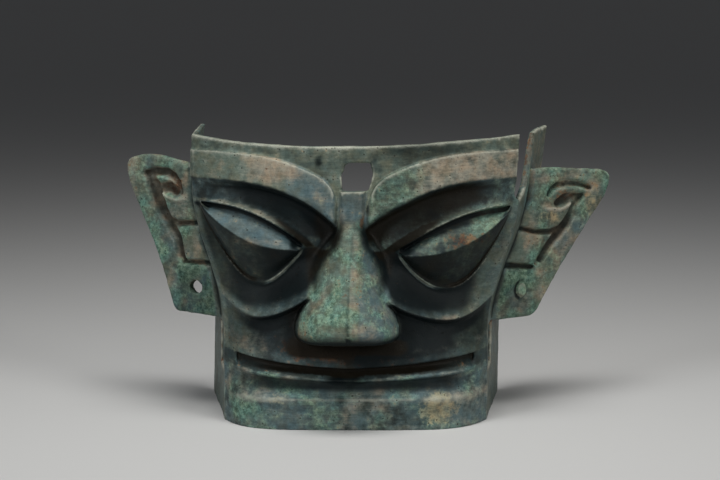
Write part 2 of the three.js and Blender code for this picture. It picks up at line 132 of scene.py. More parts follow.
# Openings in the wall
FOREHEAD_HOLE = (
    (-10.2, 191.2), (10, 191.2), (11.6, 196), (13.6, 203), (11.8, 213), (-5.5, 213.4),
    (-8.2, 211), (-9.2, 206), (-11, 203.5), (-10.4, 197),
)
JAW_CUT = ((8, 42), (38, 42), (38, 77), (8, 77))
TEMPLE_BREAK = (
    (4.5, 250), (4.5, 182), (7, 179.5), (15, 181.5), (30, 187), (43, 200), (54, 219), (59, 229.6),
    (84, 231.4), (92, 229.4), (115, 231.4), (125, 231.4), (125, 250),
)
CORNER_BREAK = (
    (134, 250), (131.2, 234), (129, 205), (127, 182.5), (129, 180), (140, 180), (140, 250),
)

# How finely the casting is modelled
VOXEL = 0.9
MOST_TRIANGLES = 190_000


def smooth(start, end, v):
    t = np.clip((np.asarray(v, float) - start) / (end - start), 0, 1)
    return t * t * (3 - 2 * t)


def mix(a, b, share):
    return a + (b - a) * share


def along(stops, v):
    """The value at v of a run of (v, value) stops."""
    places, values = zip(*stops)
    return np.interp(v, places, values)


def falling(line, u):
    """A height that falls away from the corner towards the middle, ever faster."""
    outer, drop, inner, power = line
    return outer - drop * ((1 - u) / (1 - inner)) ** power


def hanging(line, u):
    """A height that hangs lowest at one place and rises to each side of it."""
    low, at, inner, outer = line
    rises = [
        rise * np.clip((u - at) / (end - at), 0, 1) ** power for end, rise, power in (inner, outer)
    ]
    return low + np.where(u < at, *rises)


def rising(line, u):
    middle, rise, power = line
    return middle + rise * u ** power


Lines = namedtuple("Lines", "low_lip high_lip bone lower ridge upper crease brow_foot brow_head")


def face_lines(u):
    """The heights over u of the lines that bound the parts of the face."""
    share = np.clip((u - EYE_INNER) / (EYE_OUTER - EYE_INNER), 0, 1)
    eye_rise = EYE_OUTER_Z - EYE_INNER_Z
    rounding = BROW_ROUND * ((1 - u) / (1 - BROW_TOP[2])) ** BROW_ROUND_POWER
    return Lines(
        rising(LOWER_LIP, u), rising(UPPER_LIP, u), hanging(CHEEKBONE, u), hanging(LOWER_LID, u),
        EYE_INNER_Z + eye_rise * share ** RIDGE_POWER,
        EYE_INNER_Z + eye_rise * (1 - (1 - share) ** LID_POWER),
        falling(CREASE, u), falling(BROW_BOTTOM, u), falling(BROW_TOP, u) - rounding,
    )


def outer_fade(u):
    return smooth(EYE_OUTER, EYE_OUTER - EYE_BLEND / 2, u)


def eye_mask(u):
    """1 inside the eye, 0 at its corners and beyond."""
    return smooth(EYE_INNER, EYE_INNER + EYE_BLEND, u) * outer_fade(u)


# One line of the relief: its height and depth over u, how far the cavity lies above it
# (None where the cavity doesn't follow it), and whether the metal has an edge along it
Row = namedtuple("Row", "z d lift edge", defaults=(None, False))
ROW_GAP = 0.35


def rows(u, side):
    """The lines of the relief over u, from the lower rim up to the upper one."""
    low_lip, high_lip, bone, lower, ridge, upper, crease, brow_foot, brow_head = face_lines(u)
    under_brow, rim = brow_foot - UNDER_BROW, RIM_MIDDLE + RIM_RISE * u ** RIM_POWERS[side]
    flat, eye, fold = 0 * u, eye_mask(u), smooth(*FOLD_STARTS, u)
    mouth, brow = 1 - smooth(*MOUTH_END, u), smooth(*BROW_END, u)
    lid = smooth(*LID_STARTS, u) * outer_fade(u)
    runs = (CHIN_FADE, CHEEK, CHEEKBONE_LIP, SOCKET, LID_RIM, LID_LIP, BROW_LIP)
    chin, cheek, bone_lip, hollow, lid_rim, lid_lip, brow_lip = (along(run, u) for run in runs)
    lid_foot = mix(hollow, lid_lip - LID_GROOVE, eye)
    return (
        Row(flat, flat + 1, -12, True),
        Row(flat + 12, 1.2 * chin),
        Row(flat + CHIN_RIDGE - 2, 3.2 * chin),
        Row(flat + CHIN_RIDGE + 0.5, 3.4 * chin, 0, True),
        Row(low_lip - 8.5, -2.2 * chin, 0),
        Row(low_lip - 3.6, mix(0.5, -0.4, mouth)),
        Row(low_lip - 2.2, mix(0.5, 2.8, mouth), None, True),
        Row(low_lip + mix(2.4, 4.4, u), mix(0.5, -3, mouth), None, True),
        Row(mix(low_lip, high_lip, 0.6), mix(0.5, -4.6, mouth), 0),
        Row(high_lip - 0.8, mix(0.5, -4, mouth), None, True),
        Row(high_lip, mix(0.5, 3, mouth), None, True),
        Row(high_lip + 9, flat + 1, 0),
        Row(mix(high_lip + 9, bone - 5.5, 0.5), cheek * 0.7, 0),
        Row(bone - 5.5, cheek, 0),
        Row(bone - 0.8, bone_lip - 0.8, None, True),
        Row(bone, bone_lip, 3.5, True),
        Row(mix(bone, lower, 0.3), mix(bone_lip, hollow, 0.44)),
        Row(mix(bone, lower, 0.62), mix(bone_lip, hollow, 0.8), 0),
        Row(lower - 2.2 * eye, hollow),
        Row(lower, hollow + eye * lid_rim, None, True),
        Row(lower + 0.9 * eye, hollow + eye * lid_rim, None, True),
        Row(lower + 2.3 * eye, mix(hollow, BALL_FOOT, eye), 0, True),
        Row(mix(lower, ridge, 0.5), mix(hollow, 1.2, eye)),
        Row(ridge, mix(hollow, BALL_RIDGE, eye), 0, True),
        Row(mix(ridge, upper - 4.5 * eye, 0.5), mix(hollow, 2.4, eye)),
        Row(upper - 4.2 * eye, lid_foot, 0),
        Row(upper - 1.2 * eye, lid_foot, None, True),
        Row(upper, mix(hollow, lid_lip, lid), None, True),
        Row(np.maximum(crease, upper + 1.5), hollow * mix(1, 0.45, fold)),
        Row(mix(crease, under_brow, 0.5), hollow * mix(1, 0.85, fold)),
        Row(under_brow, hollow, 0),
        Row(brow_foot - 0.8, mix(0, brow_lip - 1.2, brow), None, True),
        Row(brow_foot, mix(0, brow_lip, brow), 4, True),
        Row(brow_head - 0.8, mix(0, BROW_CREST, brow), None, True),
        Row(brow_head + 0.4, flat + 0.2, 0, True),
        Row(mix(brow_head, rim, 0.6), flat),
        Row(rim, flat, 20, True),
    )


# How finely the surfaces are drawn before they are joined
FRONT_COLUMNS = 108
SIDE_PLACES = np.array([1.5, 3, 5.5, 8, 12, *np.arange(16, DEPTH, 4), DEPTH])
CAVITY_PLACES = np.array([5, 10, 20, 30, 45, 60, 80, 100, DEPTH + 20])
CAVITY_REACH = 0.965
FINEST_STEP = 2.0
SIDE_RELIEF = 0.4


def half_width(z):
    return JAW_HALF + TEMPLE_GAIN * smooth(*WIDENS, z)


def front_power(z):
    return mix(*BOW_POWERS, smooth(*BOW_CHANGES, z))


def levels(lines):
    """The heights of all rows at each u, never crossing each other, one row to a line."""
    heights = []
    for row in lines:
        heights.append(np.maximum(row.z, heights[-1] + ROW_GAP) if heights else row.z)
    return np.array(heights)


def filled_in(z, d, edges, steps):
    """More rows between those given: straight in height, and curved in depth except at edges."""
    secant = np.diff(d, axis=0) / np.diff(z, axis=0)
    product_of_two = secant[:-1] * secant[1:]
    rounded = np.where(
        product_of_two > 0, 2 * product_of_two / (secant[:-1] + secant[1:] + 1e-12), 0
    )
    slope_up, slope_down = np.empty_like(z), np.empty_like(z)
    slope_up[:-1], slope_up[-1] = secant, secant[-1]
    slope_down[1:], slope_down[0] = secant, secant[0]
    soft = ~np.array(edges)[1:-1]
    slope_up[1:-1][soft] = rounded[soft]
    slope_down[1:-1][soft] = rounded[soft]
    out_z, out_d = [], []
    for k, count in enumerate(steps):
        height = z[k + 1] - z[k]
        for t in np.arange(count) / count:
            out_z.append(z[k] + t * height)
            out_d.append(
                (2 * t**3 - 3 * t**2 + 1) * d[k] + (t**3 - 2 * t**2 + t) * height * slope_up[k]
                + (3 * t**2 - 2 * t**3) * d[k + 1] + (t**3 - t**2) * height * slope_down[k + 1]
            )
    return np.array([*out_z, z[-1]]), np.array([*out_d, d[-1]])


def relief(u, side, hollow):
    """Heights and depths of the relief at each u; of the cavity's own lines if hollow."""
    lines = rows(u, side)
    z, d = levels(lines), np.array([row.d for row in lines])
    if hollow:
        kept = [k for k, row in enumerate(lines) if row.lift is not None]
        lift = np.array([lines[k].lift for k in kept], float)[:, None]
        return filled_in(z[kept] + lift, d[kept], [True] * len(kept), [2] * (len(kept) - 1))
    tallest = np.diff(levels(rows(np.linspace(0, 1, 9), side)), axis=0).max(axis=1)
    steps = np.ceil(tallest / FINEST_STEP).astype(int)
    return filled_in(z, d, [row.edge for row in lines], steps)


def lean(z):
    """How far the nose leans to the left at each height."""
    return LEAN_BRIDGE + LEAN_TIP * np.exp(-(((z - LEAN_HEIGHT) / LEAN_REACH) ** 2))


def droop(z):
    """How far the right half has sagged at each height."""
    return DROOP * smooth(*DROOP_FROM, z) * smooth(*DROOP_TO, z)


def sag(u, side, x, z):
    """The crookedness of the face."""
    on_right = smooth(0, DROOP_ACROSS, u) if side > 0 else 0 * u
    return x - lean(z) * smooth(0, LEAN_STARTS, z) * (1 - u * u) ** 2, z - droop(z) * on_right


def front_points(u, side, z, d, inset):
    power = front_power(z)
    half = half_width(z)
    slope = BOW * power * u ** (power - 1) / half
    length = np.hypot(1, slope)
    across = u * half - CORNER_CUT * u**CORNER_POWER - inset * slope / length
    x, height = sag(u, side, side * across, z)
    return np.stack([x, -BOW * (1 - u**power) - d + inset / length, height], axis=-1)


def side_points(y, side, z, d, inset):
    raised = SIDE_RELIEF * d * (1 - smooth(0, RELIEF_ENDS, y))
    across = half_width(z) + FLARE * y / DEPTH + raised - inset
    _, height = sag(np.ones_like(z), side, 0 * z, z)
    return np.stack([side * across, y + 0 * z, height], axis=-1)


def shell(places, inset):
    """Columns of points round the U, from the left rear edge to the right one."""
    u = np.linspace(0, CAVITY_REACH if inset else 1, FRONT_COLUMNS)
    halves = []
    for side in (-1, 1):
        z, d = relief(u, side, bool(inset))
        front = front_points(u, side, z, d, inset).transpose(1, 0, 2)
        z, d = relief(np.ones_like(places), side, bool(inset))
        flank = side_points(places, side, z, d, inset).transpose(1, 0, 2)
        halves.append(np.concatenate([front, flank]))
    left, right = halves
    return np.concatenate([left[:0:-1], right])


def new_object(name, points, faces):
    """A mesh object from points in millimetres."""
    mesh = bpy.data.meshes.new(name)
    mesh.from_pydata((np.asarray(points) * MM).tolist(), [], faces)
    made = bpy.data.objects.new(name, mesh)
    bpy.context.scene.collection.objects.link(made)
    return made


def lofted(name, sections):
    """A closed solid from columns of points: a skin, a flat back, and two caps."""
    columns, rows, _ = sections.shape
    points = sections.reshape(-1, 3)
    turn = [(i, (i + 1) % columns) for i in range(columns)]
    faces = [
        (i * rows + k, j * rows + k, j * rows + k + 1, i * rows + k + 1)
        for i, j in turn for k in range(rows - 1)
    ]
    hubs = [sections[:, 0].mean(axis=0), sections[:, -1].mean(axis=0)]
    low, high = len(points), len(points) + 1
    faces += [(low, j * rows, i * rows) for i, j in turn]
    faces += [(high, i * rows + rows - 1, j * rows + rows - 1) for i, j in turn]
    return new_object(name, np.vstack([points, hubs]), faces)


NOSE_SIDES = 48
NOSE_STEP = 1.6


def nose(name, table, inset):
    """The nose or its flanks, or their hollow when inset, in rounded sections."""
    levels_given = np.array(table[2:] if inset and table is NOSE else table, float)
    heights = levels_given[:, 0]
    z = np.concatenate([
        np.linspace(a, b, max(2, math.ceil((b - a) / NOSE_STEP)), endpoint=False)
        for a, b in zip(heights, heights[1:])
    ] + [heights[-1:]])
    half, reach, square = (np.interp(z, heights, levels_given[:, i]) for i in (1, 2, 3))
    soften = np.array([0.25, 0.5, 0.25])
    for _ in range(4):
        for values in (half, reach):
            values[1:-1] = np.convolve(values, soften, "valid")
    angle = np.pi * (1 - np.arange(NOSE_SIDES + 1) / NOSE_SIDES)[:, None]
    roundness = 2 / square
    cosine, sine = np.cos(angle), np.clip(np.sin(angle), 0, 1)
    across = np.sign(cosine) * np.abs(cosine) ** roundness * (half - inset)
    root = NOSE_BACK - BOW
    y = root - (NOSE_BACK + reach - inset) * sine**roundness
    y[[0, -1]] = DEPTH / 2 if inset else root
    x, height = sag(np.zeros_like(across), 1, across, z + 0 * across)
    if inset:
        height[:, -1] -= inset
    return lofted(name, np.stack([x, y, height], axis=-1))


def rounded(points, steps=6):
    """A closed outline from (x, y, corner radius) points."""
    line = []
    corners = np.array([p if len(p) == 3 else (*p, 0) for p in points], float)
    neighbours = np.roll(corners, 1, 0), np.roll(corners, -1, 0)
    for before, (x, y, radius), after in zip(neighbours[0], corners, neighbours[1]):
        here = np.array([x, y])
        if not radius:
            line.append(here)
            continue
        ends = []
        for other in (before[:2], after[:2]):
            length = np.linalg.norm(other - here)
            ends.append(here + (other - here) * min(radius, length / 2) / length)
        for t in np.linspace(0, 1, steps + 1):
            line.append((1 - t) ** 2 * ends[0] + 2 * t * (1 - t) * here + t**2 * ends[1])
    return np.array(line)


def inside_by(outline, points):
    """How far points lie inside a closed outline; less than 0 outside it."""
    start, end = outline, np.roll(outline, -1, 0)
    along_edge = end - start
    nearest = np.full(len(points), np.inf)
    crossings = np.zeros(len(points), int)
    for a, b, edge in zip(start, end, along_edge):
        share = np.clip((points - a) @ edge / max(edge @ edge, 1e-12), 0, 1)
        gap = points - a - share[:, None] * edge
        nearest = np.minimum(nearest, np.hypot(*gap.T))
        spans = (a[1] > points[:, 1]) != (b[1] > points[:, 1])
        height = edge[1] if edge[1] else 1e-12
        crossings += spans & (points[:, 0] < a[0] + edge[0] * (points[:, 1] - a[1]) / height)
    return np.where(crossings % 2 == 1, nearest, -nearest)


def prism(name, outline, low, high, place):
    """An outline pushed from `low` to `high`; place turns (x, y, height) into millimetres."""
    count = len(outline)
    points = [place(x, y, h) for h in (low, high) for x, y in outline]
    walls = [(i, (i + 1) % count, count + (i + 1) % count, count + i) for i in range(count)]
    ends = [tuple(range(count))[::-1], tuple(range(count, 2 * count))]
    return new_object(name, points, ends + walls)


# Each ear: its outline, then lines of (p, z, half width) that are sunk into its front face or
# stand up from it, each with its depth or height and how softly it ends
EARS = {
    "left": {
        "side": -1,
        "outline": ((EAR_BURIED, 197), (72, 211.5, 14), (98.5, 206, 8), (95.5, 188, 20),
                    (58, 127.5, 30), (40.5, 80.5, 6), (EAR_BURIED, 78.8)),
        "sunk": (
            (4.2, 2.2, ((75, 194, 2.2), (64, 196.4, 2.6), (53.5, 196.4, 2.4), (45.3, 193.4, 2),
                        (39.6, 187.7, 1.4), (36.5, 180, 0.7))),
            (4.2, 3.0, ((71, 191, 3), (66.5, 184, 5), (61.5, 174, 4.6), (55.5, 164, 3.2),
                        (48, 154.5, 2.4), (38.5, 141.5, 2.2), (35, 129, 1.6))),
            (3.6, 3.0, ((57, 183.5, 2.5), (49, 184, 3.2), (42, 181, 2.6))),
            (4.0, 1.8, ((49.5, 158, 1.2), (39, 154.3, 1.4), (18.7, 156, 1.2),
                        (EAR_BURIED, 157, 1.2))),
            (3.8, 1.6, ((32, 123, 1.2), (5.8, 123.6, 1.2), (EAR_BURIED, 123.6, 1.2))),
            (4.6, 1.8, ((39.3, 138, 1.2), (34.6, 129.4, 2), (31.5, 124.3, 1.2))),
            (0.9, 1.0, ((52, 173, 0.3), (46.5, 171.2, 0.4), (38.3, 170, 0.4), (28, 171.5, 0.3))),
        ),
        "raised": (
            (0.9, 1.6, ((70, 190.8, 0.3), (57, 191, 0.5), (46, 188.4, 0.5), (41.5, 183.5, 0.3))),
            (1.5, 1.6, ((56, 178.5, 0.3), (50.5, 175, 0.7), (40, 173, 0.7), (31, 175, 0.4))),
            (0.9, 9.0, ((34, 164, 3), (20, 165, 3))),
            (0.9, 8.0, ((22, 144, 2), (20, 130, 2))),
        ),
        "hole": (18.5, 102.4, 12.5, 11),
        "pierced": True,
    },
    "right": {
        "side": 1,
        "outline": ((EAR_BURIED, 193), (37, 200.6, 6), (95, 197, 8), (105, 192, 6),
                    (102.5, 176, 14), (69.5, 129.5, 30), (35.5, 77, 7), (EAR_BURIED, 76)),
        "sunk": (
            (3.6, 2.0, ((44.2, 178, 0.8), (47.2, 183, 1.4), (52.5, 185.6, 1.8), (62, 186.4, 1.8),
                        (75, 184.9, 1.6), (84.5, 181, 0.9))),
            (3.8, 3.2, ((54, 170.5, 1.8), (61, 173.5, 3.2), (70, 174.3, 2.4), (76.5, 175, 1))),
            (4.2, 2.6, ((75.5, 173.5, 1.4), (70, 168, 1.6), (67.5, 160, 2.2), (62.5, 152, 2.6),
                        (55, 143.5, 2.4), (47, 135, 2), (40, 124, 1.4))),
            (4.2, 1.8, ((56.5, 148.5, 1.6), (48.4, 146.4, 1.4), (33, 147.4, 1.2), (18.6, 151, 1.2),
                        (EAR_BURIED, 152, 1.2))),
            (4.2, 1.8, ((31, 118, 1.2), (7, 121.3, 1.5), (EAR_BURIED, 122, 1.4))),
            (2.4, 2.0, ((42, 139, 0.8), (41, 130, 1.2), (35, 121, 0.8))),
        ),
        "raised": (
            (0.8, 1.6, ((46.3, 176.7, 0.3), (52.3, 180.4, 0.5), (62.5, 181.8, 0.5),
                        (73, 181.2, 0.5), (81, 179, 0.3))),
            (1.6, 2.2, ((66, 169.5, 0.4), (61, 166, 0.8), (55.5, 164.4, 0.9), (44, 166, 0.8))),
            (0.9, 9.0, ((40, 158, 4), (24, 165, 3))),
            (0.9, 7.0, ((24, 140, 2), (22, 128, 2))),
        ),
        "hole": (21.2, 100, 12.5, 15.5),
        "pierced": False,
    },
}
RING_DEPTH, PLUG_HEIGHT = 2.4, 4.2
EAR_GRID = 0.8
EAR_RIM = 2.2


def stroke(line, soft, flat):
    """1 on a line of (p, z, half width), fading to 0 over `soft` on each side of it."""
    made = np.zeros(len(flat))
    for (p0, z0, r0), (p1, z1, r1) in zip(line, line[1:]):
        run = np.array([p1 - p0, z1 - z0], float)
        share = np.clip((flat - (p0, z0)) @ run / (run @ run), 0, 1)
        gap = np.hypot(*(flat - (p0, z0) - share[:, None] * run).T) - mix(r0, r1, share)
        made = np.maximum(made, smooth(soft, 0, gap))
    return made


def deepest(lines, flat):
    return np.max([size * stroke(line, soft, flat) for size, soft, line in lines], axis=0)


def ear_place(side):
    """Turns p, z and the height over the plate into millimetres of the face's own frame."""
    cosine, sine = math.cos(EAR_SWEEP), math.sin(EAR_SWEEP)

    def place(p, z, height):
        x = side * (EAR_ROOT[0] + p * cosine + height * sine)
        return x, EAR_ROOT[1] + p * sine - height * cosine, z + 0 * p

    return place


def ellipse(hole, count=28):
    p, z, across, high = hole
    angle = np.linspace(2 * np.pi, 0, count, endpoint=False)
    return np.stack([p + across / 2 * np.cos(angle), z + high / 2 * np.sin(angle)], -1)


def ear(name):
    """One ear: a plate whose front face carries the relief, cut to its outline."""
    form = EARS[name]
    place = ear_place(form["side"])
    edge = rounded(form["outline"])
    low, high = edge.min(0) - 1, edge.max(0) + 1
    p = np.arange(low[0], high[0], EAR_GRID)
    z = np.arange(low[1], high[1], EAR_GRID)
    grid_p, grid_z = np.meshgrid(p, z, indexing="ij")
    flat = np.stack([grid_p.ravel(), grid_z.ravel()], axis=-1)
    height = deepest(form["raised"], flat) - deepest(form["sunk"], flat)
    to_edge = inside_by(edge, flat)
    rim = np.clip(EAR_RIM - to_edge, 0, EAR_RIM)
    fall = EAR_RIM - np.sqrt(EAR_RIM**2 - rim**2)
    front = height - fall
    if not form["pierced"]:
        ring = inside_by(ellipse(form["hole"]), flat)
        front += -RING_DEPTH * smooth(-0.6, 0.6, ring) + PLUG_HEIGHT * smooth(0.8, 2.2, ring)
    layers = [place(flat[:, 0], flat[:, 1], h) for h in (front, fall - EAR_THICK - EAR_BACK)]
    points = np.vstack([np.stack(layer, axis=-1) for layer in layers])
    index = np.arange(len(flat)).reshape(grid_p.shape)
    cells = np.stack([index[:-1, :-1], index[1:, :-1], index[1:, 1:], index[:-1, 1:]], axis=-1)
    border = [*index[:, 0], *index[-1, 1:], *index[-2::-1, -1], *index[0, -2:0:-1]]
    walls = [(b, a, len(flat) + a, len(flat) + b) for a, b in zip(border, border[1:] + border[:1])]
    turned = slice(None, None, form["side"])
    faces = [tuple(cell[turned]) for cell in cells.reshape(-1, 4).tolist()]
    faces += [tuple(len(flat) + i for i in reversed(cell)) for cell in faces]
    plate = new_object(f"ear_{name}", points, faces + [wall[turned] for wall in walls])
    cuts = [("INTERSECT", edge, 30)]
    if form["pierced"]:
        cuts.append(("DIFFERENCE", ellipse(form["hole"]), 20))
    for operation, outline, reach in cuts:
        tool = prism("cut", outline, -reach, reach, place)
        if form["side"] > 0:
            tool.data.flip_normals()
        combine(plate, tool, operation)
    return plate


def combine(target, tool, operation):
    """Joins or cuts a closed mesh with another one, which is used up."""
    cut = target.modifiers.new("cut", "BOOLEAN")
    cut.operation = operation
    cut.solver = "MANIFOLD"
    cut.object = tool
    settle(target)
    bpy.data.objects.remove(tool)


def settle(target):
    """Gives an object the mesh that its modifiers make, and drops the modifiers."""
    graph = bpy.context.evaluated_depsgraph_get()
    mesh = bpy.data.meshes.new_from_object(target.evaluated_get(graph))
    old = target.data
    target.modifiers.clear()
    target.data = mesh
    bpy.data.meshes.remove(old)


def noise(points, size, seed):
    """Smooth noise from -1 to 1 with bumps about `size` mm across."""
    cells = 32
    lattice = np.random.default_rng(seed).uniform(-1, 1, (cells, cells, cells))
    turn = np.array(Matrix.Rotation(0.7 + seed, 3, Vector((0.4, 0.7, 0.6)).normalized()))
    place = points @ turn.T / size + 1000
    cell = np.floor(place).astype(int)
    t = place - cell
    t = t * t * (3 - 2 * t)
    total = np.zeros(len(points))
    for corner in product((0, 1), repeat=3):
        weight = np.prod(np.where(corner, t, 1 - t), axis=1)
        i, j, k = ((cell + corner) % cells).T
        total += weight * lattice[i, j, k]
    return total


RAGGED_STEP, RAGGED_SIZE = 2.2, 4


def ragged(outline, amount, seed):
    """An outline broken into short stretches, each pushed a little off its line."""
    points = []
    for a, b in zip(outline, np.roll(outline, -1, 0)):
        count = max(1, round(np.linalg.norm(b - a) / RAGGED_STEP))
        points += [mix(a, b, i / count) for i in range(count)]
    points = np.array(points)
    lifted = np.column_stack([points, np.zeros(len(points))])
    pushes = [noise(lifted, RAGGED_SIZE, seed + axis) for axis in (0, 1)]
    return points + amount * np.column_stack(pushes)


# Each cut: its outline, how ragged it is, a seed, and where it starts and ends, along y through
# the front or along x through a side wall
FRONT_CUTS = ((FOREHEAD_HOLE, 0.5, 11, -65, -15), (CORNER_BREAK, 0.4, 41, -40, 9))
SIDE_CUTS = (
    (JAW_CUT, 0.5, 21, -170, -70), (JAW_CUT, 0.5, 21, 70, 170), (TEMPLE_BREAK, 0.55, 31, 70, 190),
)


def cutters():
    """The forehead hole, the broken corner, the cuts in both jaws and the broken temple."""
    made = []
    for outline, amount, seed, low, high in FRONT_CUTS:
        edge = ragged(np.array(outline, float), amount, seed)[::-1]
        made.append(prism("cut", edge, low, high, lambda x, z, y: (x, y, z)))
    for outline, amount, seed, low, high in SIDE_CUTS:
        edge = ragged(np.array(outline, float), amount, seed)
        made.append(prism("cut", edge, low, high, lambda y, z, x: (x, y, z)))
    return made


# The cavity's skin is drawn in between these heights; above and below them only where it faces
# sideways, and nowhere near the rear edges, so that it still runs out through the openings
DRAWN_IN = (20, 205)
SIDEWAYS = 0.8
REAR_FREE = 20
WALL_ROUNDS = 3


def keep_wall(cavity, body):
    """Draws the cavity's skin in wherever it comes too near the outside of the body."""
    outer = BVHTree.FromPolygons(
        [v.co / MM for v in body.data.vertices], [list(p.vertices) for p in body.data.polygons]
    )
    for vertex in cavity.data.vertices:
        place = vertex.co / MM
        for _ in range(WALL_ROUNDS):
            nearest, normal, _, _ = outer.find_nearest(place)
            short = THINNEST + (place - nearest).dot(normal)
            free = place.y < DEPTH - REAR_FREE
            drawn_in = DRAWN_IN[0] < place.z < DRAWN_IN[1] or abs(normal.z) < SIDEWAYS
            if short > 0 and free and drawn_in:
                place -= normal * short
        vertex.co = place * MM


def casting():
    """The whole mask as one joined solid, as it came from the mould and was then broken."""
    body = lofted("mask", shell(SIDE_PLACES, 0))
    for made in (nose("nose", NOSE, 0), nose("flanks", FLANKS, 0), ear("left"), ear("right")):
        combine(body, made, "UNION")
    cavity = lofted("cavity", shell(CAVITY_PLACES, WALL))
    for made in (nose("nose", NOSE, WALL), nose("flanks", FLANKS, WALL)):
        combine(cavity, made, "UNION")
    keep_wall(cavity, body)
    combine(body, cavity, "DIFFERENCE")
    for made in cutters():
        combine(body, made, "DIFFERENCE")
    return body


def read(collection, name, width, kind=float):
    values = np.zeros(len(collection) * width, kind)
    collection.foreach_get(name, values)
    return values.reshape(-1, width)


class Skin:
    """The vertices of a mesh in millimetres of the face's frame, and how they join up."""

    def __init__(self, mesh):
        self.mesh = mesh
        self.points = read(mesh.vertices, "co", 3) / MM
        self.ends = read(mesh.edges, "vertices", 2, np.int32).T
        self.joins = np.bincount(self.ends.ravel(), minlength=len(self.points))

    def averaged(self, values, rounds, share=1.0):
        """Values, one or more to a vertex, drawn towards those of their neighbours."""
        a, b = self.ends
        count = len(self.points)
        columns = []
        for column in np.atleast_2d(values.T):
            for _ in range(rounds):
                total = np.bincount(a, column[b], count) + np.bincount(b, column[a], count)
                column = mix(column, total / self.joins, share)
            columns.append(column)
        return np.array(columns).T.reshape(values.shape)

    def normals(self):
        return read(self.mesh.vertex_normals, "vector", 3)

    def put_back(self):
        self.mesh.vertices.foreach_set("co", (self.points * MM).ravel())
        self.mesh.update()


def twist(y, z):
    """How far the casting lies to one side: the more, the higher and further back a point is."""
    return TWIST * np.maximum(0, y) / DEPTH * (z / TOP) ** 2


def between(values, low, high, soft):
    return smooth(-soft, soft, values - low) * smooth(soft, -soft, values - high)


class Region:
    """Where the points of the finished skin lie on the mask; each mask runs from 0 to 1."""

    def __init__(self, points, normals):
        x, y, z = points.T
        self.points, self.normals = points, normals
        self.left, self.right = x < 0, x > 0
        straight = x - twist(y, z)
        half = half_width(z)
        share = np.clip(np.abs(straight) / half, 0, 1)
        self.across = straight + lean(z) * smooth(0, LEAN_STARTS, z) * (1 - share**2) ** 2
        self.u = np.clip(np.abs(self.across) / half, 0, 1)
        self.z = z + droop(z) * np.where(self.right, smooth(0, DROOP_ACROSS, self.u), 0)
        wall = half + FLARE * np.maximum(0, y) / DEPTH
        self.ears = smooth(3, 6, np.abs(straight) - wall)
        out, back = np.abs(straight) - EAR_ROOT[0], y - EAR_ROOT[1]
        self.p = out * math.cos(EAR_SWEEP) + back * math.sin(EAR_SWEEP)
        self.in_ear = np.stack([self.p, z], axis=-1)
        toward_side = share**6
        outward = toward_side * np.sign(x) * normals[:, 0] - (1 - toward_side) * normals[:, 1]
        self.outside = smooth(-0.25, 0.25, outward) * (1 - self.ears) + self.ears
        self.front = smooth(6, 0, y) * self.outside * (1 - self.ears)
        self.from_nose = np.abs(self.across) - np.interp(z, *np.array(NOSE)[:, :2].T)
        self.nose = smooth(3, -3, self.from_nose) * self.band(69, 190, 3) * self.front

    def band(self, low, high, soft):
        return between(self.z, low, high, soft)

    def channels(self):
        """1 on the floors of the grooves in the ears' front faces."""
        sunk = [deepest(EARS[name]["sunk"], self.in_ear) for name in ("left", "right")]
        forward = smooth(0, -0.4, self.normals[:, 1])
        return np.clip(np.where(self.left, *sunk) / 3.5, 0, 1) * self.ears * forward

    def ledges(self):
        """1 along the raised ledge under each ear's bowl."""
        lines = [EARS[name]["raised"][1][2] for name in ("left", "right")]
        raised = [stroke(line, 1.8, self.in_ear) for line in lines]
        return np.where(self.left, *raised) * self.ears

    def plug(self, start, end):
        """A mask on the right ear that fades from `start` to `end`, shares of the plug's radius."""
        p, z, across, high = EARS["right"]["hole"]
        far = np.hypot((self.p - p) / (across / 2), (self.in_ear[:, 1] - z) / (high / 2))
        return smooth(end, start, far) * self.ears * self.right

    def spot(self, x, z, wide, high):
        far = np.hypot((self.points[:, 0] - x) / wide, (self.points[:, 2] - z) / high)
        return smooth(1.3, 0.2, far)


# Masks that fade in over a share of the way out from the middle, or out where it ends inward
ACROSS = {
    "outer": (0.55, 0.9), "inner": (0.6, 0.4), "arch": (0.3, 0.5), "brow_inner": (0.55, 0.25),
    "brow_root": (0.5, 0.3), "brow_end": (0.4, 0.2), "within_ends": (0.95, 0.7),
    "within_left": (0.86, 0.62), "before_end": (0.92, 0.78), "before_edge": (0.9, 0.8),
    "foot_inner": (0.75, 0.5), "by_nose": (0.36, 0.26), "by_bridge": (0.3, 0.2),
    "corner": (0.955, 0.985),
}
# Masks that fade in over a height, or out where it ends lower
UPWARDS = {"top": (180, 205), "under_bridge": (178, 165), "tip": (122, 108), "bowl": (166, 158)}
# Bumps of the noise that breaks up the finishes, in mm
BLOTCHES = {"small": 9, "medium": 15, "large": 27}
EDGE = 1.2

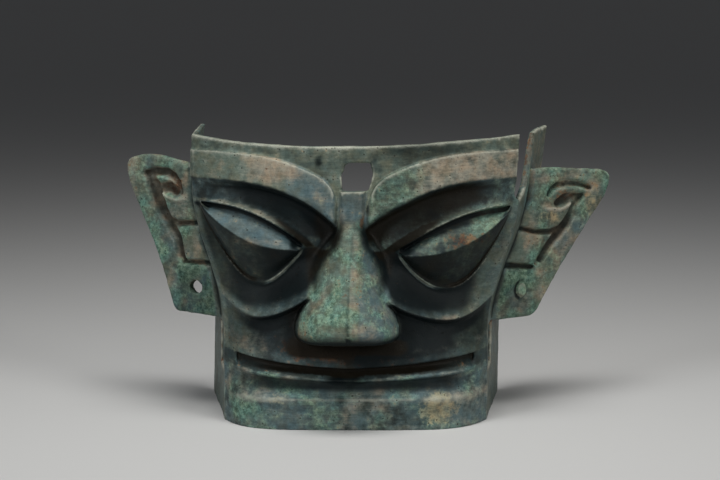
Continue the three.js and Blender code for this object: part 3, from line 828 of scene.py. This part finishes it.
# Further masks: a name, the masks that it lies within, -name standing for all but that mask, and
# what bounds it: two lines of the face, or a measure that fades it in from one value to the next,
# or with a third number holds it between them, with edges as soft as that
MASKS = (
    ("face", "front -nose"),
    ("forehead", "face", ("brow_head", -1, 1)),
    ("brow", "face", ("brow_foot", "brow_head"), ("u", *BROW_END)),
    ("socket", "face", ("crease", -6, 0), ("brow_foot", 3, -3)),
    ("lid", "face", ("upper", -2, 2), ("crease", 2, -2)),
    ("groove", "face eye", ("upper", -4.5, -0.6, 0.7)),
    ("ball", "face eye", ("ridge", "upper")),
    ("foot", "face eye", ("lower", "ridge")),
    ("pocket", "face", ("bone", "lower")),
    ("cheek", "face", ("high_lip", "bone")),
    ("mouth", "face -mouth_end", ("low_lip", "high_lip")),
    ("chin", "face", ("low_lip", 1, -1)),
    ("wall", "-front outside -ears"),
    ("torn", "right -ears", ("normal_y", -0.3, -0.8), ("y", 1, 3), ("y", 66, 60),
     ("z", 178, 240, EDGE)),
    ("standing", "wall right -torn", ("z", 182, 240, EDGE)),
    ("near_jaw_cut", "wall", ("z", 38, 80, 2), ("from_cut", 4, 1)),
    ("jaw_foot", "outside", ("z", 38, 44, 1), ("y", 2, 8), ("y", 42, 38)),
    ("ring", "plug_edge", ("p", 22, 18)),
    ("ear_root", "ears", ("p", 34, 22), ("z", 124, 170, 4)),
    ("lobes", "ears", ("z", 125, 113), ("p", 46, 32)),
    ("under_nose", "front", ("z", 60, 73, 3), ("off_middle", 56, 36)),
    ("nose_foot", "nose", ("z", 84, 74)),
    ("nose_flank", "nose", ("z", 117, 166, 7), ("from_nose", -11, -1)),
    ("nose_right", "nose", ("x", 6, 12)),
    ("bridge", "nose", ("z", 160, 172)),
    ("seam", "nose", ("from_seam", 2.2, 0.6), ("z", 74, 158, 4)),
    ("beside_seam", "nose", ("x", 1, 2), ("x", 9, 5), ("z", 84, 158, 4)),
    ("brow_gap", "front", ("u", 0.06, 0.08), ("u", 0.14, 0.11), ("z", 168, 206, 4)),
    ("rightward", "", ("x", -16, 16)),
    ("over_mouth", "", ("high_lip", 0, 13)),
    ("off_cheekbone", "", ("bone", 0, 12)),
    ("rim", "front eye", ("lower", -1.8, 1.5, 0.6), ("u", 0.66, 0.54)),
    ("lid_line", "front eye", ("lower", 0, 3.5, 0.8), ("u", 0.66, 0.74)),
    ("lid_band", "front eye_end", ("upper", 0, 4.5, 2.5), ("u", 0.36, 0.46)),
    ("ball_outer", "right ball", ("u", 0.68, 0.8)),
    ("ball_top", "right ball", ("upper", -9, 0, 2), ("u", 0.8, 0.65)),
    ("socket_shade", "socket", ("over_lid", 0.02, 0.38)),
    ("bone_shade", "face", ("bone", -12, -1, 3), ("u", 1, 0.75)),
    ("lip_gap", "mouth", ("low_lip", 0.6, 2), ("u", 1.1, 0.4)),
    ("lip_foot", "chin", ("low_lip", -4, -2)),
    ("chin_dip", "chin", ("z", 27, 35), ("low_lip", -2.4, -4.4), ("u", 0.93, 0.7)),
    ("inner_corner", "front", ("from_corner", 0.13, 0.09), ("z", 134, 166, 3), ("z", 130, 186, 3)),
    ("outer_corner", "front", ("u", 0.88, 0.92), ("z", 130, 186, 3)),
    ("beside_bridge", "front -nose", ("u", 0.36, 0.28), ("z", 108, 160, 4)),
    ("lip_line", "front", ("high_lip", -1.5, 5, EDGE)),
    ("bone_line", "front", ("bone", -2.5, 2.5, EDGE)),
    ("mouth_band", "front", ("low_lip", -4 - EDGE, EDGE - 4), ("high_lip", EDGE, -EDGE)),
)
# How far each mask keeps an edge from its painted highlight and wear
UNLIT_UNWORN = {
    "groove": 1, "torn": 1, "lip_line": 1, "ball": 0.6, "foot": 0.6, "bone_line": 0.55, "ears": 0.5,
    "inner_corner": 1, "outer_corner": 1, "beside_bridge": 0.8, "mouth_band": 0.6,
}

# How much of each finish, and of the painted shade, lies where: the masks named in a key are
# multiplied together
FINISHES = {
    "grey": {
        "forehead": 0.66, "brow left": 0.95, "brow right": 0.6, "lid": 0.75, "pocket": 0.2,
        "pocket outer": 0.75, "cheek": 0.15, "cheek outer": 0.7, "chin": 0.45, "ears": 0.75,
        "nose": 0.9, "wall": 0.6, "inside": 0.22, "foot": 0.3, "ball right": 0.3,
        "socket right": 0.3, "inside top": 0.6, "ear_root": 0.3, "ball_outer": 0.6,
        "standing": 0.4, "brow_gap": 0.3,
    },
    "film": {
        "jaw_foot": 0.5, "forehead": 0.12, "lid left": 0.25, "pocket outer": 0.18,
        "brow left": 0.1, "brow left brow_patch": 0.85, "brow right": 0.1,
        "brow right arch": 0.55, "torn": 0.4, "ball_outer": 0.4, "standing": 0.3, "lid_band": 0.1,
        "nose": 0.24, "nose medium": 0.4, "ears": 0.24, "ears small": 0.55, "beside_seam": 0.5,
        "chin": 0.16, "chin small": 0.4, "brow small": 0.3, "channels": 0.45, "ledges": 0.5,
        "plug": 0.25, "cheek over_mouth small": 0.3,
    },
    "malachite": {
        "nose under_bridge": 0.55, "nose under_bridge small": 0.5, "nose_right": -0.25,
        "forehead": 0.05, "ears": 0.42, "ears medium": 0.75, "channels left": -0.5,
        "lobes left": 0.3, "plug": 0.4, "ear_root": -0.25, "ball_outer": 0.5,
        "brow right brow_inner": 0.45, "ball right": 0.22, "foot right": 0.3, "lid right": 0.2,
        "socket right": 0.2, "pocket right outer": 0.12, "chin": 0.14, "chin medium": 0.5,
        "inside": 0.22, "cheek outer": 0.15, "cheek outer medium": 0.3,
    },
    "slate": {
        "ball left": 0.85, "brow left brow_root": 0.85, "forehead left": 0.2, "pocket": 0.4,
        "cheek": 0.4, "chin": 0.6, "chin large": 0.4, "bridge": 0.9, "socket": 0.35, "wall": 0.35,
        "ears": 0.14, "ears large": 0.5, "inside": 0.22, "nose_right": 0.8, "inside top": 0.3,
        "lobes left": 0.9,
    },
    "rust": {
        "mouth": 0.2, "near_jaw_cut": 0.5, "groove": 0.4, "cheek inner": 0.3, "ears": 0.08,
        "ears large": -0.35, "ear_root": -0.1, "nose": 0.12, "nose large": -0.3, "inside": 0.22,
        "ball right": 0.18, "foot left": 0.12, "torn": 0.3, "channels": 0.25,
        "channels right": -0.15,
    },
    "ochre": {"ears medium": -0.25},
    # This finish is mostly painted shade, in sockets, lid grooves, pockets, the mouth and under the
    # nose, brow and cheekbones; negative weights lift it, a few are dark stains
    "painted_shade_and_stains": {
        "socket_shade left within_left": 0.95, "socket_shade -left within_ends": 0.95,
        "lid inner": 0.95, "lid right within_ends": 0.8, "lid_band": -0.1,
        "lid_band right": -0.25, "forehead": 0.18, "foot": 0.62, "foot foot_inner": 0.38,
        "foot right": 0.1, "ball": 0.2, "ball right": 0.05, "ball_outer": -0.35, "ball_top": 0.45,
        "lid_line": 0.4, "brow_gap": -0.25, "standing": -0.15, "deep_pocket": 0.42,
        "deep_pocket before_end": 0.35, "deep_pocket foot_inner": 0.35,
        "pocket left outer off_cheekbone": 0.4, "pocket right before_edge": 0.25, "rim": -1.5,
        "pocket corner left": -0.35, "cheek corner left": -0.35, "pocket corner right": -0.2,
        "cheek corner right": -0.2, "ring": 0.5, "plug": -1.3, "cheek": 0.12,
        "cheek over_mouth": 0.25, "cheek outer": 0.2, "cheek outer right": 0.1,
        "cheek rightward": 0.25, "lip_shade": 0.44, "lip_shade rightward": 0.22,
        "brow right": 0.08, "brow right brow_end": 0.3, "bone_shade": 0.6,
        "bone_shade left outer": -0.3, "groove": 0.8, "lip_gap": 1.2, "under_nose": 1.2,
        "chin_dip": 0.85, "lip_foot": 0.3, "nose_foot": 1.0, "nose_flank": 1.05, "bridge": 0.3,
        "seam": 0.22, "seam tip": 0.35, "channels": 0.35, "channels right": -0.15,
        "channels right bowl": 0.4, "lobes": 0.3, "lobes left": 0.2, "torn": 0.5,
        "outside large": 0.14,
    },
    # Where the painted shade and hollow darkening turn brown-black rather than blue-black
    "brown": {
        "socket right": 0.7, "lid right": 1, "foot right": 0.5, "mouth": 1, "under_nose": 1,
        "cheek inner left": 0.6, "pocket by_nose": 0.6, "lid left": 0.7, "foot left": 0.4,
        "inside": 0.6, "socket by_bridge": 0.6, "channels": 1, "channels right": -0.5, "torn": 1,
        "lid_line": 1, "nose_flank left": 0.6,
    },
}

# Stains that stand alone: x, z, width and height in mm, and how strong each finish is in it
# The darkest spots here use the finish that paints shade, so they are dark paint in the painted
# shade's colour
STAINS = (
    (66, 18, 20, 17, {"ochre": 0.75}), (-63, 26, 12, 7, {"ochre": 0.4}),
    (-91, 18, 20, 12, {"malachite": 0.6}), (-60, 34, 40, 6, {"malachite": 0.3}),
    (-69, 209, 2.2, 4, {"rust": 0.7}), (-28.9, 213.7, 4, 5, {"painted_shade_and_stains": 0.8}),
    (5, 167.4, 3, 6, {"rust": 0.6}), (-12, 24.5, 6, 4, {"painted_shade_and_stains": 0.9}),
    (92, 151, 22, 8, {"rust": 0.42}), (-135, 120, 12, 12, {"malachite": 0.7, "slate": 0.5}),
    (-85, 69, 26, 10, {"film": 0.4}), (-99, 69, 8, 8, {"rust": 0.3}),
    (-50, 66, 26, 7, {"rust": 0.45}), (-20, 62, 30, 7, {"rust": 0.5}),
    (199, 170, 8, 26, {"ochre": 0.5}), (198, 184, 12, 18, {"film": 0.5}),
    (200, 174, 9, 34, {"malachite": -0.7}), (168, 193, 26, 7, {"film": 0.5, "malachite": -0.5}),
    (-196, 192, 14, 26, {"film": 0.4, "malachite": -0.5}), (-167, 163, 7, 14, {"painted_shade_and_stains": 0.3}),
    (-48, 148.5, 5, 5, {"painted_shade_and_stains": 0.9}), (39.5, 143, 5, 5, {"painted_shade_and_stains": 0.7}),
    (-118.5, 175.5, 3.5, 3.5, {"painted_shade_and_stains": 0.7}), (-147, 186, 10, 10, {"rust": 0.4}),
    (-126.5, 177.5, 2.8, 2.2, {"painted_shade_and_stains": 0.9}), (158, 160, 12, 6, {"ochre": 0.5}),
    (142, 190, 6, 24, {"slate": 0.6, "malachite": 0.5}), (172, 178, 14, 10, {"rust": 0.3}),
    (74, 87, 12, 5, {"film": 0.6}), (100, 196, 10, 12, {"slate": 0.7}),
    (-166, 160, 5, 20, {"rust": 0.35}), (97, 26, 24, 5, {"film": 0.35}),
    (50, 223, 48, 12, {"painted_shade_and_stains": 0.55}), (40, 14, 34, 12, {"painted_shade_and_stains": 0.35}),
    (-8, 42, 17, 6, {"painted_shade_and_stains": 1.0}), (166, 132, 8, 20, {"film": 0.4}),
    (-77, 150, 26, 4, {"film": 0.4}),
)


def measures(body):
    """What bounds the masks: for the lines of the face, how far each point lies above them."""
    u, z, y, lines = body.u, body.z, body.points[:, 1], face_lines(body.u)
    return {
        **{name: z - line for name, line in lines._asdict().items()},
        "u": u, "z": z, "y": y, "p": body.p, "x": body.across, "normal_y": body.normals[:, 1],
        "off_middle": np.abs(body.across), "from_seam": np.abs(body.across - 1),
        "from_nose": body.from_nose, "from_cut": np.abs(y - JAW_CUT[1][0]),
        "from_corner": np.abs(u - EYE_INNER - EYE_BLEND),
        "over_lid": (z - lines.upper) / (lines.brow_foot - lines.upper),
    }


def within(on, names):
    """The product of the named masks, a leading - standing for all but that one."""
    share = 1.0
    for name in names.split():
        share = share * (1 - on[name[1:]] if name[0] == "-" else on[name])
    return share


def masks(body):
    """Where each place of the mask lies, by name; each mask runs from 0 to 1."""
    at = measures(body)
    straight_from = ("left", "right", "front", "nose", "ears", "outside")
    on = {name: np.array(getattr(body, name), float) for name in straight_from}
    on.update({
        "inside": 1 - body.outside, "eye": eye_mask(body.u), "eye_end": outer_fade(body.u),
        "mouth_end": smooth(*MOUTH_END, body.u), "channels": body.channels(),
        "ledges": body.ledges(), "plug": body.plug(0.7, 0.85), "plug_edge": body.plug(1.0, 1.35),
        "brow_patch": body.spot(-66, 211, 26, 18),
    })
    on.update({name: smooth(*ends, body.u) for name, ends in ACROSS.items()})
    on.update({name: smooth(*ends, body.z) for name, ends in UPWARDS.items()})
    on.update({name: noise(body.points, size, size) for name, size in BLOTCHES.items()})
    for name, names, *bounds in MASKS:
        on[name] = within(on, names)
        for measure, *ends in bounds:
            if len(ends) == 1:
                fade = smooth(-EDGE, EDGE, at[measure]) * smooth(EDGE, -EDGE, at[ends[0]])
            elif len(ends) == 2:
                fade = smooth(*ends, at[measure])
            else:
                fade = between(at[measure], *ends)
            on[name] = on[name] * fade
    on["deep_pocket"] = on["pocket"] * mix(0.2, 1, on["off_cheekbone"])
    by_corner = mix(0.9, 0.4, smooth(20, 38, at["off_middle"]))
    on["lip_shade"] = on["cheek"] * smooth(0.85, 0.6, body.u) * mix(by_corner, 1, on["over_mouth"])
    return on


def finishes(skin):
    """How much of each finish, of the painted shade and of the painted edge highlight lies at each
    vertex.
    """
    body = Region(skin.points, skin.normals())
    on = masks(body)
    amount = {
        kind: sum(weight * within(on, names) for names, weight in weights.items())
        for kind, weights in FINISHES.items()
    }
    for x, z, wide, high, strengths in STAINS:
        spot = body.spot(x, z, wide, high) * smooth(0, 0.5, body.outside)
        for kind, strength in strengths.items():
            amount[kind] += strength * spot
    proud, wide_proud = (
        ((skin.points - skin.averaged(skin.points, rounds)) * body.normals).sum(axis=1)
        for rounds in (3, 60)
    )
    # Only edges facing up are lightened: a painted highlight as well as wear, raised further on the
    # lower lid rims, the ear ledges and the plug
    upward = smooth(-0.35, 0.05, body.normals[:, 2]) * smooth(0, 0.4, body.outside)
    for name, share in UNLIT_UNWORN.items():
        upward *= 1 - share * on[name]
    crest = skin.averaged(np.minimum(proud, 0.6) * upward, 1) - 0.1 * body.nose
    amount["crest"] = crest + 0.1 * on["ledges"] + 0.16 * on["rim"] + 0.03 * on["plug"]
    amount["hollow"] = -wide_proud * (1 - on["rim"]) * (1 - 0.8 * on["brow_gap"])
    return amount


# The unevenness of the casting, then of its crust, which is rougher on the nose and the ears:
# each size in mm with its heights
SWELLS = ((38, 0.45), (13, 0.22))
CRUSTS = ((4.5, 0.08, 0.16), (2.2, 0.07, 0.07))
EASE_ROUNDS = 5


def ease_creases(skin):
    """Rounds off the hard creases beside the nose, under the lids and over them."""
    place = Region(skin.points, skin.normals())
    u, z = place.u, place.z
    bridge = place.nose * smooth(0.16, 0.06, u)
    beside_nose = smooth(0.34, 0.26, u) * place.band(104, 182, 6) * (1 - bridge)
    lines = face_lines(u)
    under_lid = smooth(0.52, 0.42, u) * smooth(0, -5, z - (lines.lower - 2))
    under_lid = under_lid * smooth(0, 4, z - (lines.bone + 2))
    over_lid = smooth(0.5, 0.38, u) * smooth(2, 7, z - lines.upper)
    over_lid = over_lid * smooth(-2, -6, z - lines.brow_foot)
    eased = np.clip(beside_nose + under_lid + over_lid, 0, 1) * place.front
    for _ in range(EASE_ROUNDS):
        skin.points = mix(skin.points, skin.averaged(skin.points, 10, 0.5), eased[:, None])
    skin.put_back()


def roughen(skin):
    """Makes the skin uneven, as a casting is."""
    place = Region(skin.points, skin.normals())
    crusted = np.maximum(place.ears, place.nose)
    raised = np.zeros(len(skin.points))
    for seed, (size, height) in enumerate(SWELLS, 1):
        raised += height * noise(skin.points, size, seed)
    for seed, (size, height, more) in enumerate(CRUSTS, 3):
        raised += place.outside * (height + more * crusted) * noise(skin.points, size, seed)
    skin.points += raised[:, None] * place.normals
    skin.put_back()


def surface(body):
    """Gives the joined solid one even skin, works it over, and paints on its finishes, its painted
    shade and its edge highlights.
    """
    skin = Skin(body.data)
    skin.points[:, 0] += twist(*skin.points.T[1:])
    skin.put_back()
    even = body.modifiers.new("even", "REMESH")
    even.mode = "VOXEL"
    even.voxel_size = VOXEL * MM
    settle(body)
    skin = Skin(body.data)
    skin.points = skin.averaged(skin.points, 2, 0.5)
    skin.put_back()
    ease_creases(skin)
    roughen(skin)
    fewer = body.modifiers.new("fewer", "DECIMATE")
    fewer.ratio = MOST_TRIANGLES / (2 * len(body.data.polygons))
    settle(body)
    skin = Skin(body.data)
    for name, amounts in finishes(skin).items():
        made = body.data.attributes.new(name, "FLOAT", "POINT")
        made.data.foreach_set("value", amounts.astype(np.float32))
    skin.points += (FACE_X, FACE_Y, 0)
    skin.points[:, 2] = np.maximum(skin.points[:, 2], 0)
    skin.put_back()
    body.data.shade_smooth()


class Amount:
    """A number in a material's node tree; arithmetic on it adds Math nodes."""

    def __init__(self, finish, socket):
        self.finish, self.socket = finish, socket

    def math(self, operation, other, turned=False):
        values = (other, self) if turned else (self, other)
        return self.finish.node("ShaderNodeMath", {"operation": operation}, dict(enumerate(values)))

    __add__ = __radd__ = partialmethod(math, "ADD")
    __mul__ = __rmul__ = partialmethod(math, "MULTIPLY")
    __sub__ = partialmethod(math, "SUBTRACT")
    __rsub__ = partialmethod(math, "SUBTRACT", turned=True)


class Finish:
    """A material and its node tree."""

    def __init__(self, name):
        self.material = bpy.data.materials.new(name)
        self.material.use_nodes = True
        self.tree = self.material.node_tree
        self.shader = self.tree.nodes["Principled BSDF"]

    def node(self, kind, settings, inputs, output=0):
        """Adds a node with its settings, then the values or links of its sockets."""
        made = self.tree.nodes.new(kind)
        for name, value in settings.items():
            setattr(made, name, value)
        for name, value in inputs.items():
            self.feed(made.inputs[name], value)
        return Amount(self, made.outputs[output])

    def feed(self, socket, value):
        if isinstance(value, Amount):
            self.tree.links.new(value.socket, socket)
        else:
            socket.default_value = value

    def wear(self, **inputs):
        """Sets or links the shader's own sockets."""
        for name, value in inputs.items():
            self.feed(self.shader.inputs[name.replace("_", " ")], value)

    def painted(self, name):
        return self.node("ShaderNodeAttribute", {"attribute_name": name}, {}, "Fac")

    def step(self, value, start, end):
        """0 where value is at start, 1 where it is at end, eased between."""
        return self.node(
            "ShaderNodeMapRange", {"interpolation_type": "SMOOTHSTEP"},
            {"Value": value, "From Min": start, "From Max": end},
        )

    def mixed(self, share, a, b, blend="MIX"):
        colours = [c if isinstance(c, Amount) else (*c, 1) for c in (a, b)]
        return self.node(
            "ShaderNodeMix", {"data_type": "RGBA", "blend_type": blend},
            {0: share, 6: colours[0], 7: colours[1]}, 2,
        )

    def scaled(self, stretch):
        """Object coordinates in millimetres, times a stretch along each axis."""
        place = self.node("ShaderNodeTexCoord", {}, {}, "Object")
        return self.node(
            "ShaderNodeVectorMath", {"operation": "MULTIPLY"},
            {0: place, 1: tuple(k / MM for k in stretch)},
        )

    def clouds(self, place, size, detail=4.0, roughness=0.6, seed=0.0):
        """Noise around 0.5 with patches about `size` millimetres across."""
        inputs = {"Vector": place, "W": seed, "Scale": 1 / size, "Detail": detail}
        inputs["Roughness"] = roughness
        return self.node("ShaderNodeTexNoise", {"noise_dimensions": "4D"}, inputs)

    def cells(self, place, size):
        return self.node("ShaderNodeTexVoronoi", {}, {"Vector": place, "Scale": 1 / size})

    def patchy(self, amount, texture, soft, bite):
        """Patches of a finish: none where amount is 0, all over where it is 1."""
        return self.step(amount + (texture - 0.5) * bite, 0.5 - soft, 0.5 + soft)


# Colours of the patina, of the painted shade in hollows and of the painted edge highlights
DEEP = (0.022, 0.030, 0.031)
TEAL = (0.050, 0.072, 0.070)
GREY = (0.135, 0.163, 0.130)
SLATE = (0.095, 0.140, 0.152)
FILM = (0.290, 0.250, 0.195)
MALACHITE = (0.058, 0.135, 0.098)
MINT = (0.180, 0.295, 0.228)
CUPRITE = (0.075, 0.030, 0.018)
ORANGE = (0.210, 0.105, 0.050)
OCHRE = (0.290, 0.260, 0.165)
LIT_AND_WORN = (0.420, 0.430, 0.360)
SHADE_AND_GRIME = (0.003, 0.006, 0.007)
BROWN_SHADE_AND_GRIME = (0.009, 0.007, 0.004)
PIT = (0.014, 0.013, 0.010)
COOL = (0.80, 1.00, 1.08)
WARM = (1.20, 1.00, 0.82)
PALE_SHADE, DARK_SHADE = (1.48,) * 3, (0.66,) * 3
BUMP = 0.0006
SHINE = 0.13


def patina():
    skin = Finish("patina")
    clouds, mixed, step = skin.clouds, skin.mixed, skin.step
    place = skin.scaled((1, 1, 1))
    streaks = clouds(skin.scaled((0.2, 1, 1.6)), 3.2, 5, 0.7)
    broad = clouds(place, 42, 3)
    middle = clouds(place, 14, 5)
    blotch = clouds(place, 7.5, 4, 0.55)
    fine = clouds(place, 3.6, 6, 0.65)
    grain = clouds(place, 1.4, 4, 0.7)
    hue = clouds(place, 10, 4, 0.6, 3.7)
    specks = skin.cells(place, 3.4)
    amount = {name: skin.painted(name) for name in (*FINISHES, "crest", "hollow")}

    colour = mixed(step(broad * 0.5 + middle * 0.5, 0.36, 0.64), DEEP, TEAL)
    green_shade = mixed(step(fine * 0.6 + grain * 0.4, 0.38, 0.62), MALACHITE, MINT)
    rust_shade = mixed(step(middle, 0.42, 0.62), CUPRITE, ORANGE)
    covers = {}
    # Each finish that covers the metal: what breaks it up, how softly and strongly, and its colour
    for kind, texture, soft, bite, cover, shade in (
        ("grey", middle * 0.5 + blotch * 0.3 + streaks * 0.2, 0.42, 2.4, 0.95, GREY),
        ("slate", middle * 0.6 + blotch * 0.4, 0.38, 2.4, 0.9, SLATE),
        ("film", middle * 0.3 + blotch * 0.4 + streaks * 0.3, 0.42, 2.6, 0.9, FILM),
        ("malachite", middle * 0.3 + blotch * 0.4 + fine * 0.3, 0.4, 3, 0.85, green_shade),
        ("rust", blotch * 0.4 + fine * 0.6, 0.2, 3.6, 0.8, rust_shade),
        ("ochre", blotch * 0.5 + fine * 0.5, 0.25, 2.8, 0.8, OCHRE),
    ):
        covers[kind] = skin.patchy(amount[kind], texture, soft, bite)
        colour = mixed(covers[kind] * cover, colour, shade)
    tint = mixed(step(hue, 0.36, 0.64), COOL, WARM)
    colour = mixed(0.5, colour, tint, "MULTIPLY")
    green, film = covers["malachite"], covers["film"]
    crust = step(green + film * 0.5 + covers["rust"], 0.1, 1.0)
    tone = step(blotch * 0.25 + fine * 0.4 + streaks * 0.35, 0.37, 0.63)
    shade = mixed(tone, DARK_SHADE, PALE_SHADE)
    colour = mixed(crust * 0.4 + 0.6, colour, shade, "MULTIPLY")

    # Hollows are darkened, partly painted shade and partly grime; then painted shade is laid over
    # sockets, grooves and undersides
    hollow_shade_and_grime = step(amount["hollow"] + (blotch - 0.5) * 1.6, 0.2, 2.2)
    painted_shade = step(amount["painted_shade_and_stains"] + (middle - 0.5) * 0.4, 0.0, 1.1)
    brown = step(amount["brown"] + (middle - 0.5) * 0.8, 0.3, 0.8)
    shade_and_grime_colour = mixed(brown, SHADE_AND_GRIME, BROWN_SHADE_AND_GRIME)
    colour = mixed(hollow_shade_and_grime * 0.85, colour, shade_and_grime_colour)
    colour = mixed(painted_shade * 0.98, colour, shade_and_grime_colour)
    # Edges are lightened as a painted highlight along with wear, less so where painted shade lies
    lit_and_worn = step(amount["crest"] + (blotch - 0.5) * 0.12, 0.06, 0.3)
    colour = mixed(lit_and_worn * (1 - painted_shade * 0.6) * 0.75, colour, LIT_AND_WORN)
    pits = step(specks, 0.26, 0.12) * step(blotch + middle * 0.4, 0.7, 0.82)
    pits = pits + step(grain, 0.55, 0.65) * crust * 0.45
    colour = mixed(pits * 0.8, colour, PIT)
    shade = step(grain, 0.3, 0.7) * 0.22 + 0.89
    colour = skin.node("ShaderNodeVectorMath", {"operation": "SCALE"}, {0: colour, "Scale": shade})

    height = grain * 0.35 + fine * 0.4 + green * 0.25 + film * 0.1 - pits * 0.8
    relief_of = {"Strength": 0.55, "Distance": BUMP, "Height": height}
    skin.wear(
        Base_Color=colour, Roughness=crust * 0.25 + grain * 0.15 + 0.42,
        Metallic=0.15 - crust * 0.15, Normal=skin.node("ShaderNodeBump", {}, relief_of, "Normal"),
        Specular_IOR_Level=SHINE,
    )
    return skin.material


mask = casting()
surface(mask)
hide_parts("mask")
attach(mask, "root")
mask.data.materials.clear()
mask.data.materials.append(patina())
mask.data.polygons.foreach_set("material_index", [0] * len(mask.data.polygons))


# The studio, in metres
FLOOR = 40.0
FLOOR_SHADE, FLOOR_ROUGHNESS = (0.6, 0.6, 0.6, 1), 0.9
# Each lamp: its place, what it points at, its size, power, colour and spread
LAMPS = {
    "key": ((0, -0.42, 1.5), (0, -0.04, 0.12), (1.1, 0.5), 7.5, (1, 0.99, 0.96), 120),
    "left": ((-1.2, -1.4, 0.9), (0, 0, 0.14), (0.6, 0.9), 1.4, (0.97, 0.99, 1), 60),
    "right": ((1.2, -1.4, 0.9), (0, 0, 0.14), (0.6, 0.9), 1.4, (1, 0.99, 0.96), 60),
}
SKY, SKY_STRENGTH = (0.9, 0.92, 0.95, 1), 0.06
LENS, SENSOR = 100, 36
CAMERA, CAMERA_DOWN = (-0.007515, -1.6131, 0.3634), 7.72


def floor():
    corners = [(-FLOOR, -FLOOR, 0), (FLOOR, -FLOOR, 0), (FLOOR, FLOOR, 0), (-FLOOR, FLOOR, 0)]
    made = new_object("floor", np.array(corners) / MM, [(0, 1, 2, 3)])
    paper = Finish("floor")
    paper.wear(Base_Color=FLOOR_SHADE, Roughness=FLOOR_ROUGHNESS)
    made.data.materials.append(paper.material)


def softbox(name, place, target, size, power, colour, spread):
    lamp = bpy.data.lights.new(name, "AREA")
    lamp.shape = "RECTANGLE"
    lamp.size, lamp.size_y = size
    lamp.energy = power
    lamp.color = colour
    lamp.spread = math.radians(spread)
    made = bpy.data.objects.new(name, lamp)
    made.location = place
    made.rotation_euler = (Vector(target) - Vector(place)).to_track_quat("-Z", "Y").to_euler()
    scene.collection.objects.link(made)


scene = bpy.context.scene
floor()
for name, settings in LAMPS.items():
    softbox(name, *settings)
scene.world = scene.world or bpy.data.worlds.new("studio")
scene.world.use_nodes = True
background = scene.world.node_tree.nodes["Background"]
background.inputs["Color"].default_value = SKY
background.inputs["Strength"].default_value = SKY_STRENGTH

lens = bpy.data.cameras.new("camera")
lens.lens = LENS
lens.sensor_width = SENSOR
camera = bpy.data.objects.new("camera", lens)
camera.location = CAMERA
camera.rotation_euler = (math.radians(90 - CAMERA_DOWN), 0, 0)
scene.collection.objects.link(camera)
scene.camera = camera
scene.view_settings.view_transform = "Standard"
